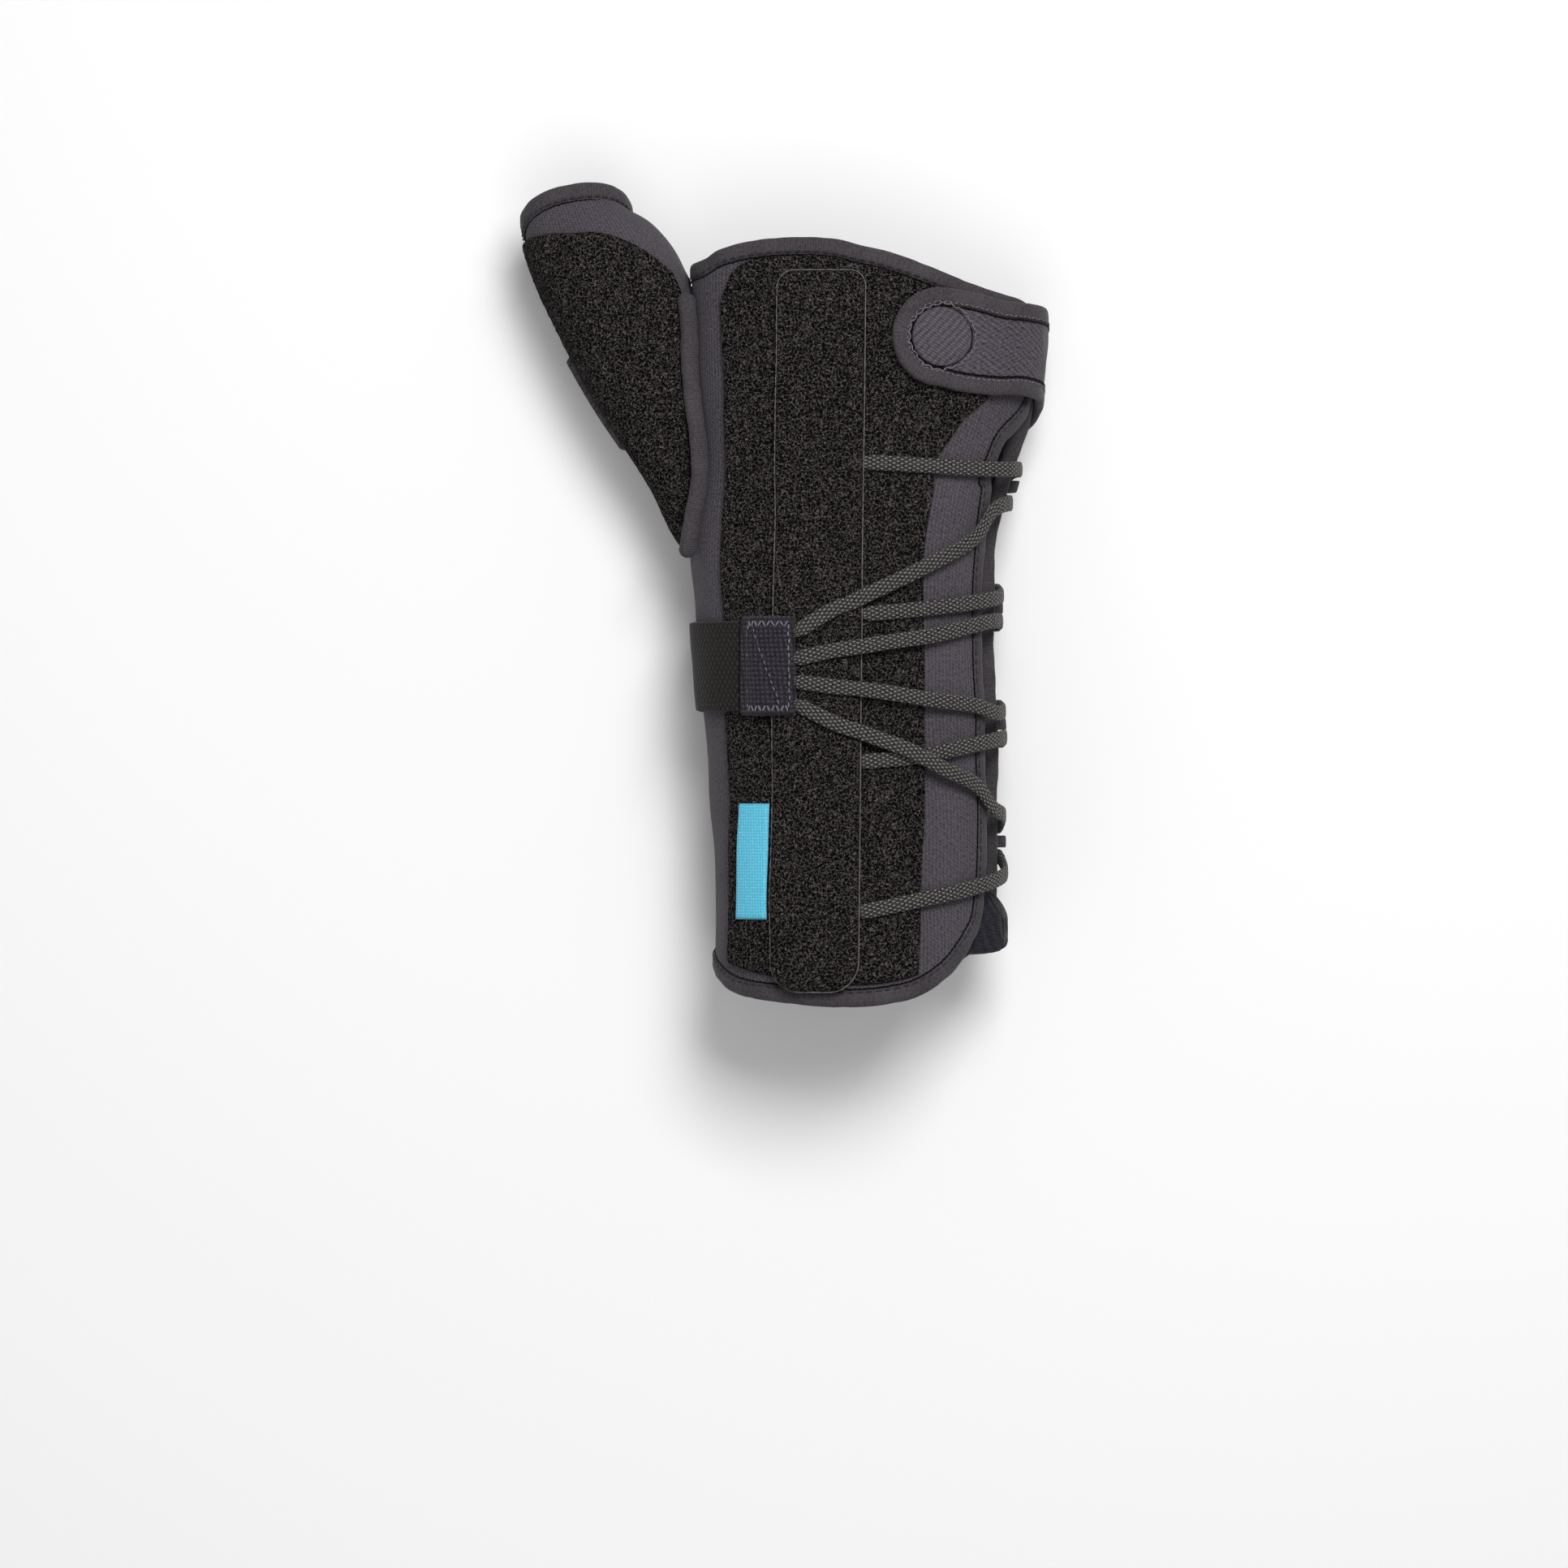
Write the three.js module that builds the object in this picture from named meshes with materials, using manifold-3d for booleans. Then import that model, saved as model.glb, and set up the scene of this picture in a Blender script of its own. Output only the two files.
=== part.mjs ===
// A laced thumb spica splint for a right hand, lying palm side down.
// +Y runs from forearm to fingers, +X to the little finger's side and +Z out of the back of the hand.

import * as THREE from 'three';
import { mergeVertices } from 'three/addons/utils/BufferGeometryUtils.js';
import Module from 'manifold-3d';

const { degToRad, radToDeg, clamp, lerp, smoothstep } = THREE.MathUtils;

// Main sizes in millimetres
const BODY_LENGTH = 213;
const HAND_WIDTH = 100;
const FOREARM_DEPTH = 62;
const THUMB_DEPTH = 34;

// Cloth thicknesses
const WALL = 3;
const PILE = 1.2;
const STRIP = 2.4;
const TONGUE = 2;
const LABEL = 0.6;
const STRAP = 2.2;
const TAB = 0.9;
const BAND = 1.3;
const PATCH = 2.4;
const FLAP = 3.6;
const CLEARANCE = 0.3;
const SHORTEST_EDGE = 0.05;

// Tapes, straps and laces
const TAPE_WIDTH = 4;
const TAPE_PROUD = 0.7;
const STRAP_TAPE_PROUD = 0.25;
const ROLL_WIDTH = 3.4;
const ROLL_THICKNESS = 5;
const STRIP_WIDTH = 25;
const STRAP_HALF_WIDTH = 9.2;
const TAB_RADIUS = 8.2;
const LACE_WIDTH = 4.4;
const LACE_THICKNESS = 1.6;
const BAND_WIDTH = 25;
const PATCH_WIDTH = 27.5;
const LABEL_WIDTH = 8.6;
const LABEL_LENGTH = 32;
const LOOP_WIDTH = 3.4;
const LOOP_THICKNESS = 0.8;

// Layers over the shell, measured outwards from its face
const PILE_FACE = CLEARANCE + PILE;
const STRIP_SEAT = PILE_FACE + CLEARANCE;
const STRIP_FACE = STRIP_SEAT + STRIP;
const PATCH_SEAT = STRIP_FACE + CLEARANCE;
const STRAP_SEAT = PILE_FACE + 2 * CLEARANCE;
const STRAP_FACE = STRAP_SEAT + STRAP;
const STRAP_LOW_SEAT = TAPE_PROUD + 2 * CLEARANCE;
const TONGUE_FACE = -WALL - TAPE_PROUD - 3 * CLEARANCE;

// Heights of a lace's middle: on the pile, climbing, on the strip, over another lace, in its loop
const LACE_ON_PILE = STRIP_SEAT + LACE_THICKNESS / 2;
const LACE_ON_STRIP = PATCH_SEAT + LACE_THICKNESS / 2;
const LACE_LEVELS = {
  pile: LACE_ON_PILE,
  climb: (LACE_ON_PILE + LACE_ON_STRIP) / 2,
  strip: LACE_ON_STRIP,
  cross: LACE_ON_PILE + LACE_THICKNESS + 2 * CLEARANCE,
  loop: LOOP_THICKNESS + 2 * CLEARANCE + LACE_THICKNESS / 2,
};

// Cross sections of the body's outer face. along: share of BODY_LENGTH from the forearm edge;
// radial, ulnar: sides, shares of HAND_WIDTH; low, top: heights, shares of FOREARM_DEPTH
const BODY_SECTIONS = [
  { along: 0.00, radial: -0.180, ulnar: 0.597, low: -0.032, top: 1.000, power: 2.30 },
  { along: 0.10, radial: -0.191, ulnar: 0.597, low: -0.032, top: 0.985, power: 2.30 },
  { along: 0.20, radial: -0.198, ulnar: 0.592, low: -0.032, top: 0.965, power: 2.30 },
  { along: 0.35, radial: -0.217, ulnar: 0.586, low: -0.032, top: 0.920, power: 2.35 },
  { along: 0.50, radial: -0.249, ulnar: 0.582, low: -0.032, top: 0.850, power: 2.40 },
  { along: 0.58, radial: -0.262, ulnar: 0.582, low: -0.032, top: 0.808, power: 2.45 },
  { along: 0.63, radial: -0.256, ulnar: 0.594, low: -0.030, top: 0.790, power: 2.50 },
  { along: 0.70, radial: -0.243, ulnar: 0.632, low: -0.020, top: 0.775, power: 2.50 },
  { along: 0.78, radial: -0.246, ulnar: 0.688, low: 0.010, top: 0.770, power: 2.50 },
  { along: 0.86, radial: -0.256, ulnar: 0.705, low: 0.055, top: 0.770, power: 2.50 },
  { along: 0.93, radial: -0.258, ulnar: 0.698, low: 0.105, top: 0.765, power: 2.50 },
  { along: 1.00, radial: -0.245, ulnar: 0.690, low: 0.150, top: 0.755, power: 2.50 },
];

// Cross sections of the thumb sleeve's outer face, each standing on a line from its outer side to
// the web. X columns are shares of HAND_WIDTH, Y columns of BODY_LENGTH, middle of FOREARM_DEPTH;
// back, palm and slant are shares of THUMB_DEPTH
const THUMB_SECTIONS = [
  { along: 0.00, outerX: -0.140, outerY: 0.556, webX: -0.080, webY: 0.930, middle: 0.400,
    back: 0.20, palm: 0.46, slant: 0.00 },
  { along: 0.17, outerX: -0.288, outerY: 0.608, webX: -0.210, webY: 0.936, middle: 0.400,
    back: 0.22, palm: 0.52, slant: 0.00 },
  { along: 0.33, outerX: -0.377, outerY: 0.686, webX: -0.255, webY: 0.940, middle: 0.395,
    back: 0.28, palm: 0.56, slant: 0.02 },
  { along: 0.50, outerX: -0.490, outerY: 0.772, webX: -0.265, webY: 0.953, middle: 0.380,
    back: 0.37, palm: 0.55, slant: 0.06 },
  { along: 0.68, outerX: -0.605, outerY: 0.871, webX: -0.302, webY: 0.984, middle: 0.350,
    back: 0.46, palm: 0.52, slant: 0.12 },
  { along: 0.84, outerX: -0.675, outerY: 0.941, webX: -0.360, webY: 1.017, middle: 0.320,
    back: 0.49, palm: 0.49, slant: 0.18 },
  { along: 1.00, outerX: -0.726, outerY: 1.006, webX: -0.425, webY: 1.030, middle: 0.300,
    back: 0.48, palm: 0.48, slant: 0.22 },
];
const THUMB_POWER = 2.2;

// Outlines on the back of the splint. across: share of HAND_WIDTH; along: share of BODY_LENGTH
const GAP_EDGE = [
  { across: 0.480, along: 0.075 },
  { across: 0.507, along: 0.094 },
  { across: 0.532, along: 0.127 },
  { across: 0.539, along: 0.252 },
  { across: 0.541, along: 0.631 },
  { across: 0.548, along: 0.683 },
  { across: 0.573, along: 0.716 },
  { across: 0.606, along: 0.748 },
  { across: 0.672, along: 0.786 },
  { across: 0.696, along: 0.829 },
  { across: 0.692, along: 0.880 },
];
const HAND_EDGE_BACK = [
  { across: 0.692, along: 0.880 },
  { across: 0.670, along: 0.898 },
  { across: 0.579, along: 0.911 },
  { across: 0.476, along: 0.928 },
  { across: 0.338, along: 0.953 },
  { across: 0.235, along: 0.967 },
  { across: 0.132, along: 0.978 },
  { across: 0.028, along: 0.980 },
  { across: -0.075, along: 0.977 },
  { across: -0.170, along: 0.967 },
  { across: -0.225, along: 0.953 },
];
const FOREARM_EDGE_BACK = [
  { across: 0.480, along: 0.075 },
  { across: 0.444, along: 0.055 },
  { across: 0.381, along: 0.034 },
  { across: 0.310, along: 0.023 },
  { across: 0.156, along: 0.017 },
  { across: -0.030, along: 0.024 },
  { across: -0.130, along: 0.033 },
];

// Outlines round the palm side. around: degrees, 180 at the thumb's side and 270 underneath
const HAND_EDGE_PALM = [
  { around: 186, along: 0.946 },
  { around: 200, along: 0.930 },
  { around: 225, along: 0.905 },
  { around: 270, along: 0.878 },
  { around: 315, along: 0.880 },
  { around: 345, along: 0.885 },
  { around: 357, along: 0.880 },
];
const FOREARM_EDGE_PALM = [
  { around: 166, along: 0.051 },
  { around: 184, along: 0.068 },
  { around: 215, along: 0.070 },
  { around: 270, along: 0.050 },
  { around: 300, along: 0.058 },
  { around: 325, along: 0.090 },
  { around: 340, along: 0.133 },
  { around: 350, along: 0.180 },
];
const PALM_EDGE = [
  { around: 350, along: 0.180 },
  { around: 355, along: 0.218 },
  { around: 357, along: 0.280 },
  { around: 357, along: 0.630 },
  { around: 357, along: 0.760 },
  { around: 357, along: 0.880 },
];

// Pile panel on the back, corner by corner
const PILE_LEFT = [
  { across: -0.158, along: 0.053 },
  { across: -0.163, along: 0.350 },
  { across: -0.180, along: 0.560 },
  { across: -0.181, along: 0.880 },
  { across: -0.176, along: 0.920 },
  { across: -0.150, along: 0.953 },
];
const PILE_TOP = [
  { across: -0.150, along: 0.953 },
  { across: -0.103, along: 0.970 },
  { across: 0.028, along: 0.976 },
  { across: 0.132, along: 0.974 },
  { across: 0.235, along: 0.963 },
  { across: 0.338, along: 0.949 },
  { across: 0.476, along: 0.924 },
  { across: 0.579, along: 0.907 },
  { across: 0.668, along: 0.893 },
];
const PILE_RIGHT = [
  { across: 0.377, along: 0.040 },
  { across: 0.384, along: 0.156 },
  { across: 0.396, along: 0.348 },
  { across: 0.410, along: 0.645 },
  { across: 0.420, along: 0.690 },
  { across: 0.440, along: 0.716 },
  { across: 0.476, along: 0.741 },
  { across: 0.510, along: 0.764 },
  { across: 0.572, along: 0.790 },
  { across: 0.630, along: 0.824 },
  { across: 0.662, along: 0.860 },
  { across: 0.668, along: 0.893 },
];
const PILE_BOTTOM = [
  { across: -0.158, along: 0.053 },
  { across: -0.030, along: 0.036 },
  { across: 0.156, along: 0.026 },
  { across: 0.310, along: 0.031 },
  { across: 0.377, along: 0.040 },
];

// Middle line of the stay strip
const STRIP_ENDS = [
  { across: 0.080, along: 0.017 },
  { across: 0.102, along: 0.956 },
];
const STRIP_CORNER = 6;
const LABEL_PLACE = { along: 0.111 };
const BAND_PLACE = { along: 0.440, patchLeft: -0.128, patchRight: 0.033, round: 212 };
const STRIP_EDGE_ACROSS = -0.046;
const BAND_DROP = [160, 178];

// Corners of the tongue. around in degrees, along as a share of BODY_LENGTH
const TONGUE_OUTLINE = {
  low: [{ around: 58, along: 0.072 }, { around: 30, along: 0.064 }, { around: 10, along: 0.070 },
    { around: -5, along: 0.082 }],
  high: [{ around: 58, along: 0.700 }, { around: 25, along: 0.735 }, { around: -20, along: 0.720 }],
  inner: [{ around: 58, along: 0.072 }, { around: 58, along: 0.400 }, { around: 58, along: 0.700 }],
  outer: [{ around: -5, along: 0.082 }, { around: -4, along: 0.160 }, { around: -16, along: 0.240 },
    { around: -20, along: 0.500 }, { around: -20, along: 0.720 }],
};
const TONGUE_FLARE = { from: 0.180, to: 0.110, out: 7.5, inside: 34, outside: 12 };

// Strap: the degrees over which it climbs on to the pile, the directions of the corners of its
// round end, that end's centre on the back, then its two long edges round to the palm
const STRAP_CLIMB = [0, 25];
const STRAP_CORNERS = [270, 225, 210, 150, 135, 85];
const STRAP_END = { across: 0.438, along: 0.869 };
const STRAP_TOP = [
  { around: 300, along: 0.828 },
  { around: 330, along: 0.852 },
  { around: 357, along: 0.884 },
];
const STRAP_TOP_BACK = [
  { across: 0.690, along: 0.893 },
  { across: 0.610, along: 0.896 },
  { across: 0.535, along: 0.905 },
];
const STRAP_LOW = [
  { around: 300, along: 0.742 },
  { around: 330, along: 0.766 },
  { around: 357, along: 0.800 },
];
const STRAP_LOW_BACK = [
  { across: 0.680, along: 0.815 },
  { across: 0.590, along: 0.815 },
  { across: 0.500, along: 0.819 },
];

// Binding roll where the body overlaps the thumb's base
const THUMB_SEAM = [
  { across: -0.247, along: 0.930 },
  { across: -0.243, along: 0.885 },
  { across: -0.229, along: 0.798 },
  { across: -0.212, along: 0.744 },
  { across: -0.208, along: 0.702 },
  { across: -0.217, along: 0.659 },
  { across: -0.233, along: 0.615 },
  { across: -0.244, along: 0.583 },
];

// Thumb pile and flap, from end to end of each strip along the sleeve. around: degrees round it,
// 0 at the web and 90 on the back; from, to: shares of the sleeve's length
const SLEEVE_START = 0.1;
const THUMB_PILE = [
  { around: 40, from: 0.05, to: 0.560 },
  { around: 50, from: 0.05, to: 0.670 },
  { around: 60, from: 0.05, to: 0.740 },
  { around: 78, from: 0.05, to: 0.820 },
  { around: 104, from: 0.05, to: 0.880 },
  { around: 136, from: 0.05, to: 0.930 },
  { around: 168, from: 0.05, to: 0.965 },
  { around: 186, from: 0.05, to: 0.975 },
];
const THUMB_FLAP = [
  { around: 189, from: 0.440, to: 0.655 },
  { around: 200, from: 0.425, to: 0.668 },
  { around: 235, from: 0.420, to: 0.670 },
  { around: 265, from: 0.430, to: 0.660 },
  { around: 285, from: 0.470, to: 0.620 },
];

// Laces, each out from under the strip, through its guide loop and back to the patch.
const LACES = [
  [
    { across: 0.237, along: 0.7055, level: 'pile' }, { across: 0.380, along: 0.702, level: 'pile' },
    { across: 0.500, along: 0.699, level: 'pile' }, { across: 0.575, along: 0.698, level: 'pile' },
    { around: 1, along: 0.700, level: 'pile' }, { around: -10, along: 0.7005, level: 'loop' },
    { around: -19.5, along: 0.6955, level: 'loop' }, { around: -22, along: 0.6790, level: 'loop' },
    { around: -19.5, along: 0.6625, level: 'loop' }, { around: -10, along: 0.6575, level: 'loop' },
    { around: 1, along: 0.656, level: 'pile' }, { across: 0.582, along: 0.644, level: 'pile' },
    { across: 0.539, along: 0.614, level: 'pile' }, { across: 0.413, along: 0.575, level: 'climb' },
    { across: 0.290, along: 0.546, level: 'strip' }, { across: 0.223, along: 0.531, level: 'strip' },
    { across: 0.045, along: 0.486, level: 'strip' },
  ],
  [
    { across: 0.235, along: 0.508, level: 'pile' }, { across: 0.413, along: 0.516, level: 'pile' },
    { across: 0.510, along: 0.522, level: 'pile' }, { across: 0.575, along: 0.528, level: 'pile' },
    { around: 1, along: 0.535, level: 'pile' }, { around: -10, along: 0.5405, level: 'loop' },
    { around: -19.5, along: 0.5355, level: 'loop' }, { around: -22, along: 0.5190, level: 'loop' },
    { around: -19.5, along: 0.5025, level: 'loop' }, { around: -10, along: 0.4975, level: 'loop' },
    { around: 1, along: 0.500, level: 'pile' }, { across: 0.575, along: 0.499, level: 'pile' },
    { across: 0.510, along: 0.491, level: 'pile' }, { across: 0.413, along: 0.480, level: 'climb' },
    { across: 0.290, along: 0.471, level: 'strip' }, { across: 0.223, along: 0.466, level: 'strip' },
    { across: 0.043, along: 0.450, level: 'strip' },
  ],
  [
    { across: 0.225, along: 0.316, level: 'pile' }, { across: 0.381, along: 0.323, level: 'pile' },
    { across: 0.510, along: 0.336, level: 'pile' }, { across: 0.575, along: 0.343, level: 'pile' },
    { around: 1, along: 0.348, level: 'pile' }, { around: -10, along: 0.3445, level: 'loop' },
    { around: -19.5, along: 0.3495, level: 'loop' }, { around: -22, along: 0.3660, level: 'loop' },
    { around: -19.5, along: 0.3825, level: 'loop' }, { around: -10, along: 0.3875, level: 'loop' },
    { around: 1, along: 0.383, level: 'pile' }, { across: 0.582, along: 0.380, level: 'pile' },
    { across: 0.539, along: 0.388, level: 'pile' }, { across: 0.413, along: 0.396, level: 'climb' },
    { across: 0.290, along: 0.405, level: 'strip' }, { across: 0.223, along: 0.409, level: 'strip' },
    { across: 0.043, along: 0.419, level: 'strip' },
  ],
  [
    { across: 0.222, along: 0.122, level: 'pile' }, { across: 0.381, along: 0.137, level: 'pile' },
    { across: 0.510, along: 0.150, level: 'pile' }, { across: 0.580, along: 0.160, level: 'pile' },
    { around: 1, along: 0.174, level: 'pile' }, { around: -10, along: 0.1895, level: 'loop' },
    { around: -19.5, along: 0.1945, level: 'loop' }, { around: -22, along: 0.2110, level: 'loop' },
    { around: -19.5, along: 0.2275, level: 'loop' }, { around: -10, along: 0.2325, level: 'loop' },
    { around: 1, along: 0.244, level: 'pile' }, { across: 0.580, along: 0.256, level: 'pile' },
    { across: 0.539, along: 0.282, level: 'pile' }, { across: 0.444, along: 0.306, level: 'cross' },
    { across: 0.349, along: 0.330, level: 'strip' }, { across: 0.223, along: 0.352, level: 'strip' },
    { across: 0.045, along: 0.388, level: 'strip' },
  ],
];
const LOOP_PLACE = { fold: -12, sewn: -34, easing: 2 };
const LOOP_TURN = 7;

const wasm = await Module();
wasm.setup();

const splint = new THREE.Group();

// The columns of a table as smooth functions of its key column
function readTable(rows, key) {
  const names = Object.keys(rows[0]).filter((name) => name !== key);
  const places = rows.map((row) => row[key]);
  const values = rows.flatMap((row) => names.map((name) => row[name]));
  const curve = new THREE.CubicInterpolant(places, values, names.length);
  return (place) => {
    const result = curve.evaluate(clamp(place, places[0], places.at(-1)));
    return Object.fromEntries(names.map((name, index) => [name, result[index]]));
  };
}

const bodySection = readTable(BODY_SECTIONS, 'along');
const thumbSection = readTable(THUMB_SECTIONS, 'along');

// A cosine or sine drawn out to a superellipse's
const swell = (value, power) => Math.sign(value) * Math.abs(value) ** (2 / power);

// Centre and half sizes of the body at a distance y from the forearm edge
function bodyShape(y) {
  const row = bodySection(y / BODY_LENGTH);
  return {
    centre: (row.radial + row.ulnar) / 2 * HAND_WIDTH,
    reach: (row.ulnar - row.radial) / 2 * HAND_WIDTH,
    middle: (row.low + row.top) / 2 * FOREARM_DEPTH,
    rise: (row.top - row.low) / 2 * FOREARM_DEPTH,
    power: row.power,
  };
}

// A point at an angle round the body, out from its outer face. The underside is flat where it lies
function body(around, y, out) {
  const { centre, reach, middle, rise, power } = bodyShape(y);
  const angle = degToRad(around);
  const x = centre + (reach + out) * swell(Math.cos(angle), power);
  const z = middle + (rise + out) * swell(Math.sin(angle), power);
  return new THREE.Vector3(x, y, Math.max(z, -Math.min(out, 0)));
}

// A point at an angle round the thumb sleeve, at a share of its length, out from its outer face
function thumb(around, along, out) {
  const row = thumbSection(along);
  const outer = new THREE.Vector2(row.outerX * HAND_WIDTH, row.outerY * BODY_LENGTH);
  const web = new THREE.Vector2(row.webX * HAND_WIDTH, row.webY * BODY_LENGTH);
  const across = web.clone().sub(outer).divideScalar(2);
  const reach = across.length() + out;
  across.normalize();
  const ahead = new THREE.Vector2(-across.y, across.x);
  const angle = degToRad(around);
  const side = swell(Math.cos(angle), THUMB_POWER);
  const up = swell(Math.sin(angle), THUMB_POWER);
  const depth = (up > 0 ? row.back : row.palm) * THUMB_DEPTH + out;
  const flat = outer.add(web).divideScalar(2).addScaledVector(across, reach * side);
  flat.addScaledVector(ahead, row.slant * THUMB_DEPTH * up);
  return new THREE.Vector3(flat.x, flat.y, row.middle * FOREARM_DEPTH + depth * up);
}

// The place on the body of a table's row, as degrees round it and millimetres along it, seen at
// a distance out from its outer face
function placeOnBody(row, out = 0) {
  const y = row.along * BODY_LENGTH;
  if (row.around !== undefined) {
    return new THREE.Vector2(row.around, y);
  }
  const { centre, reach, power } = bodyShape(y);
  const side = clamp((row.across * HAND_WIDTH - centre) / (reach + out), -1, 1);
  return new THREE.Vector2(radToDeg(Math.acos(swell(side, 4 / power))), y);
}

const placesOnBody = (rows, out = 0) => rows.map((row) => placeOnBody(row, out));
const lineOnBody = (rows, out = 0) => new THREE.SplineCurve(placesOnBody(rows, out));

// A patch of the surface between four lines that share their corners
function patch(low, high, left, right) {
  const corners = [low.getPoint(0), low.getPoint(1), high.getPoint(0), high.getPoint(1)];
  return (u, v) => {
    const point = low.getPointAt(u).multiplyScalar(1 - v).addScaledVector(high.getPointAt(u), v);
    point.addScaledVector(left.getPointAt(v), 1 - u).addScaledVector(right.getPointAt(v), u);
    point.addScaledVector(corners[0], -(1 - u) * (1 - v)).addScaledVector(corners[1], -u * (1 - v));
    return point.addScaledVector(corners[2], -(1 - u) * v).addScaledVector(corners[3], -u * v);
  };
}

// Turns a closed mesh right side out, from the sign of its volume
function closedMesh(points, faces) {
  const volume = faces.reduce((sum, [a, b, c]) => (
    sum + points[a].dot(points[b].clone().cross(points[c]))), 0);
  const outward = volume > 0 ? faces : faces.map(([a, b, c]) => [a, c, b]);
  const geometry = new THREE.BufferGeometry().setFromPoints(points);
  geometry.setIndex(outward.flat());
  return geometry;
}

// Two triangles for the quad of corners a, b, c and d in turn
const quad = (a, b, c, d) => [[a, b, c], [a, c, d]];

// A sheet of cloth with an outer and an inner face, laid on a surface
function sheet({ surface = body, place, outer, inner, columns, rows, closed = false }) {
  const width = closed ? columns : columns + 1;
  const points = [];
  for (const offset of [outer, inner]) {
    for (let j = 0; j <= rows; j += 1) {
      for (let i = 0; i < width; i += 1) {
        const spot = place(i / columns, j / rows);
        const out = typeof offset === 'function' ? offset(spot.x, spot.y) : offset;
        points.push(surface(spot.x, spot.y, out));
      }
    }
  }
  const below = width * (rows + 1);
  const at = (i, j) => j * width + i % width;
  const faces = [];
  for (let j = 0; j < rows; j += 1) {
    for (let i = 0; i < columns; i += 1) {
      const corners = [at(i, j), at(i + 1, j), at(i + 1, j + 1), at(i, j + 1)];
      faces.push(...quad(...corners));
      faces.push(...quad(...corners.map((corner) => corner + below).reverse()));
    }
  }
  const wall = (a, b) => faces.push(...quad(b, a, a + below, b + below));
  for (let i = 0; i < columns; i += 1) {
    wall(at(i, 0), at(i + 1, 0));
    wall(at(i + 1, rows), at(i, rows));
  }
  for (let j = 0; j < rows && !closed; j += 1) {
    wall(at(columns, j), at(columns, j + 1));
    wall(at(0, j + 1), at(0, j));
  }
  return closedMesh(points, faces);
}

// Rings of points skinned into one closed body, end to end or round in a circle
function loft(rings, circle = false) {
  const size = rings[0].length;
  const faces = [];
  const steps = circle ? rings.length : rings.length - 1;
  for (let j = 0; j < steps; j += 1) {
    const here = j * size;
    const next = ((j + 1) % rings.length) * size;
    for (let i = 0; i < size; i += 1) {
      const k = (i + 1) % size;
      faces.push(...quad(here + i, here + k, next + k, next + i));
    }
  }
  if (!circle) {
    const last = (rings.length - 1) * size;
    for (let i = 1; i < size - 1; i += 1) {
      faces.push([0, i + 1, i], [last, last + i, last + i + 1]);
    }
  }
  return closedMesh(rings.flat(), faces);
}

// A tape carried along a line on a surface. Spots are (around, run, out); aside moves the tape
// sideways in the surface and the section is given by its half width and half thickness
function tape({ surface = body, spots, halfWidth, halfThickness, aside = 0, sides = 8, circle }) {
  const count = spots.length;
  const centres = spots.map((spot) => surface(spot.x, spot.y, spot.z));
  const rings = centres.map((centre, index) => {
    const before = centres[circle ? (index + count - 1) % count : Math.max(index - 1, 0)];
    const after = centres[circle ? (index + 1) % count : Math.min(index + 1, count - 1)];
    const tangent = after.clone().sub(before).normalize();
    const { x, y } = spots[index];
    const normal = surface(x, y, -WALL / 4).sub(surface(x, y, -WALL / 2));
    normal.addScaledVector(tangent, -normal.dot(tangent)).normalize();
    const sideways = tangent.clone().cross(normal);
    const ring = [];
    for (let i = 0; i < sides; i += 1) {
      const angle = (i + 0.5) / sides * 2 * Math.PI;
      const wide = swell(Math.cos(angle), 3) * halfWidth / swell(Math.cos(Math.PI / sides), 3);
      const thick = swell(Math.sin(angle), 3) * halfThickness / swell(Math.cos(Math.PI / sides), 3);
      const point = centre.clone().addScaledVector(sideways, aside + wide);
      point.addScaledVector(normal, thick);
      point.z = Math.max(point.z, 0);
      ring.push(point);
    }
    return ring;
  });
  return loft(rings, circle);
}

// Evenly spaced spots on a line of the surface, at one distance out of it
function spotsAlong(line, count, out, from = 0, to = 1) {
  const spots = [];
  for (let i = 0; i <= count; i += 1) {
    const point = line.getPointAt(lerp(from, to, i / count));
    spots.push(new THREE.Vector3(point.x, point.y, out));
  }
  return spots;
}

function toSolid(geometry) {
  const merged = mergeVertices(geometry);
  const vertProperties = new Float32Array(merged.attributes.position.array);
  const triVerts = new Uint32Array(merged.index.array);
  return new wasm.Manifold(new wasm.Mesh({ numProp: 3, vertProperties, triVerts }));
}

function toGeometry(solid) {
  const mesh = solid.getMesh();
  const geometry = new THREE.BufferGeometry();
  geometry.setAttribute('position', new THREE.BufferAttribute(mesh.vertProperties, 3));
  geometry.setIndex(new THREE.BufferAttribute(mesh.triVerts, 1));
  return geometry;
}

// A solid less its cutters, without the offcuts that fall away or edges too short to keep
function cut(solid, ...cutters) {
  const rest = cutters.reduce((left, cutter) => left.subtract(cutter), solid);
  const parts = rest.decompose();
  const main = parts.reduce((most, part) => (part.volume() > most.volume() ? part : most));
  return main.asOriginal().simplify(SHORTEST_EDGE);
}

// Cloths and their finishes
const cloth = (color, roughness = 0.9) => new THREE.MeshStandardMaterial({ color, roughness });
const KNIT = cloth(0x3d3a40);
const PILE_CLOTH = cloth(0x1b1a19, 0.98);
const BINDING = cloth(0x2c2a2c, 0.85);
const RIB = cloth(0x1d1d22);
const BRAID = cloth(0x333331, 0.8);
const WEBBING = cloth(0x1e1c24, 0.8);
const ELASTIC = cloth(0x161314, 0.85);
const WOVEN_BLUE = cloth(0x58b7cf, 0.7);

function add(name, geometry, material) {
  const mesh = new THREE.Mesh(geometry, material);
  mesh.name = name;
  splint.add(mesh);
}

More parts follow.
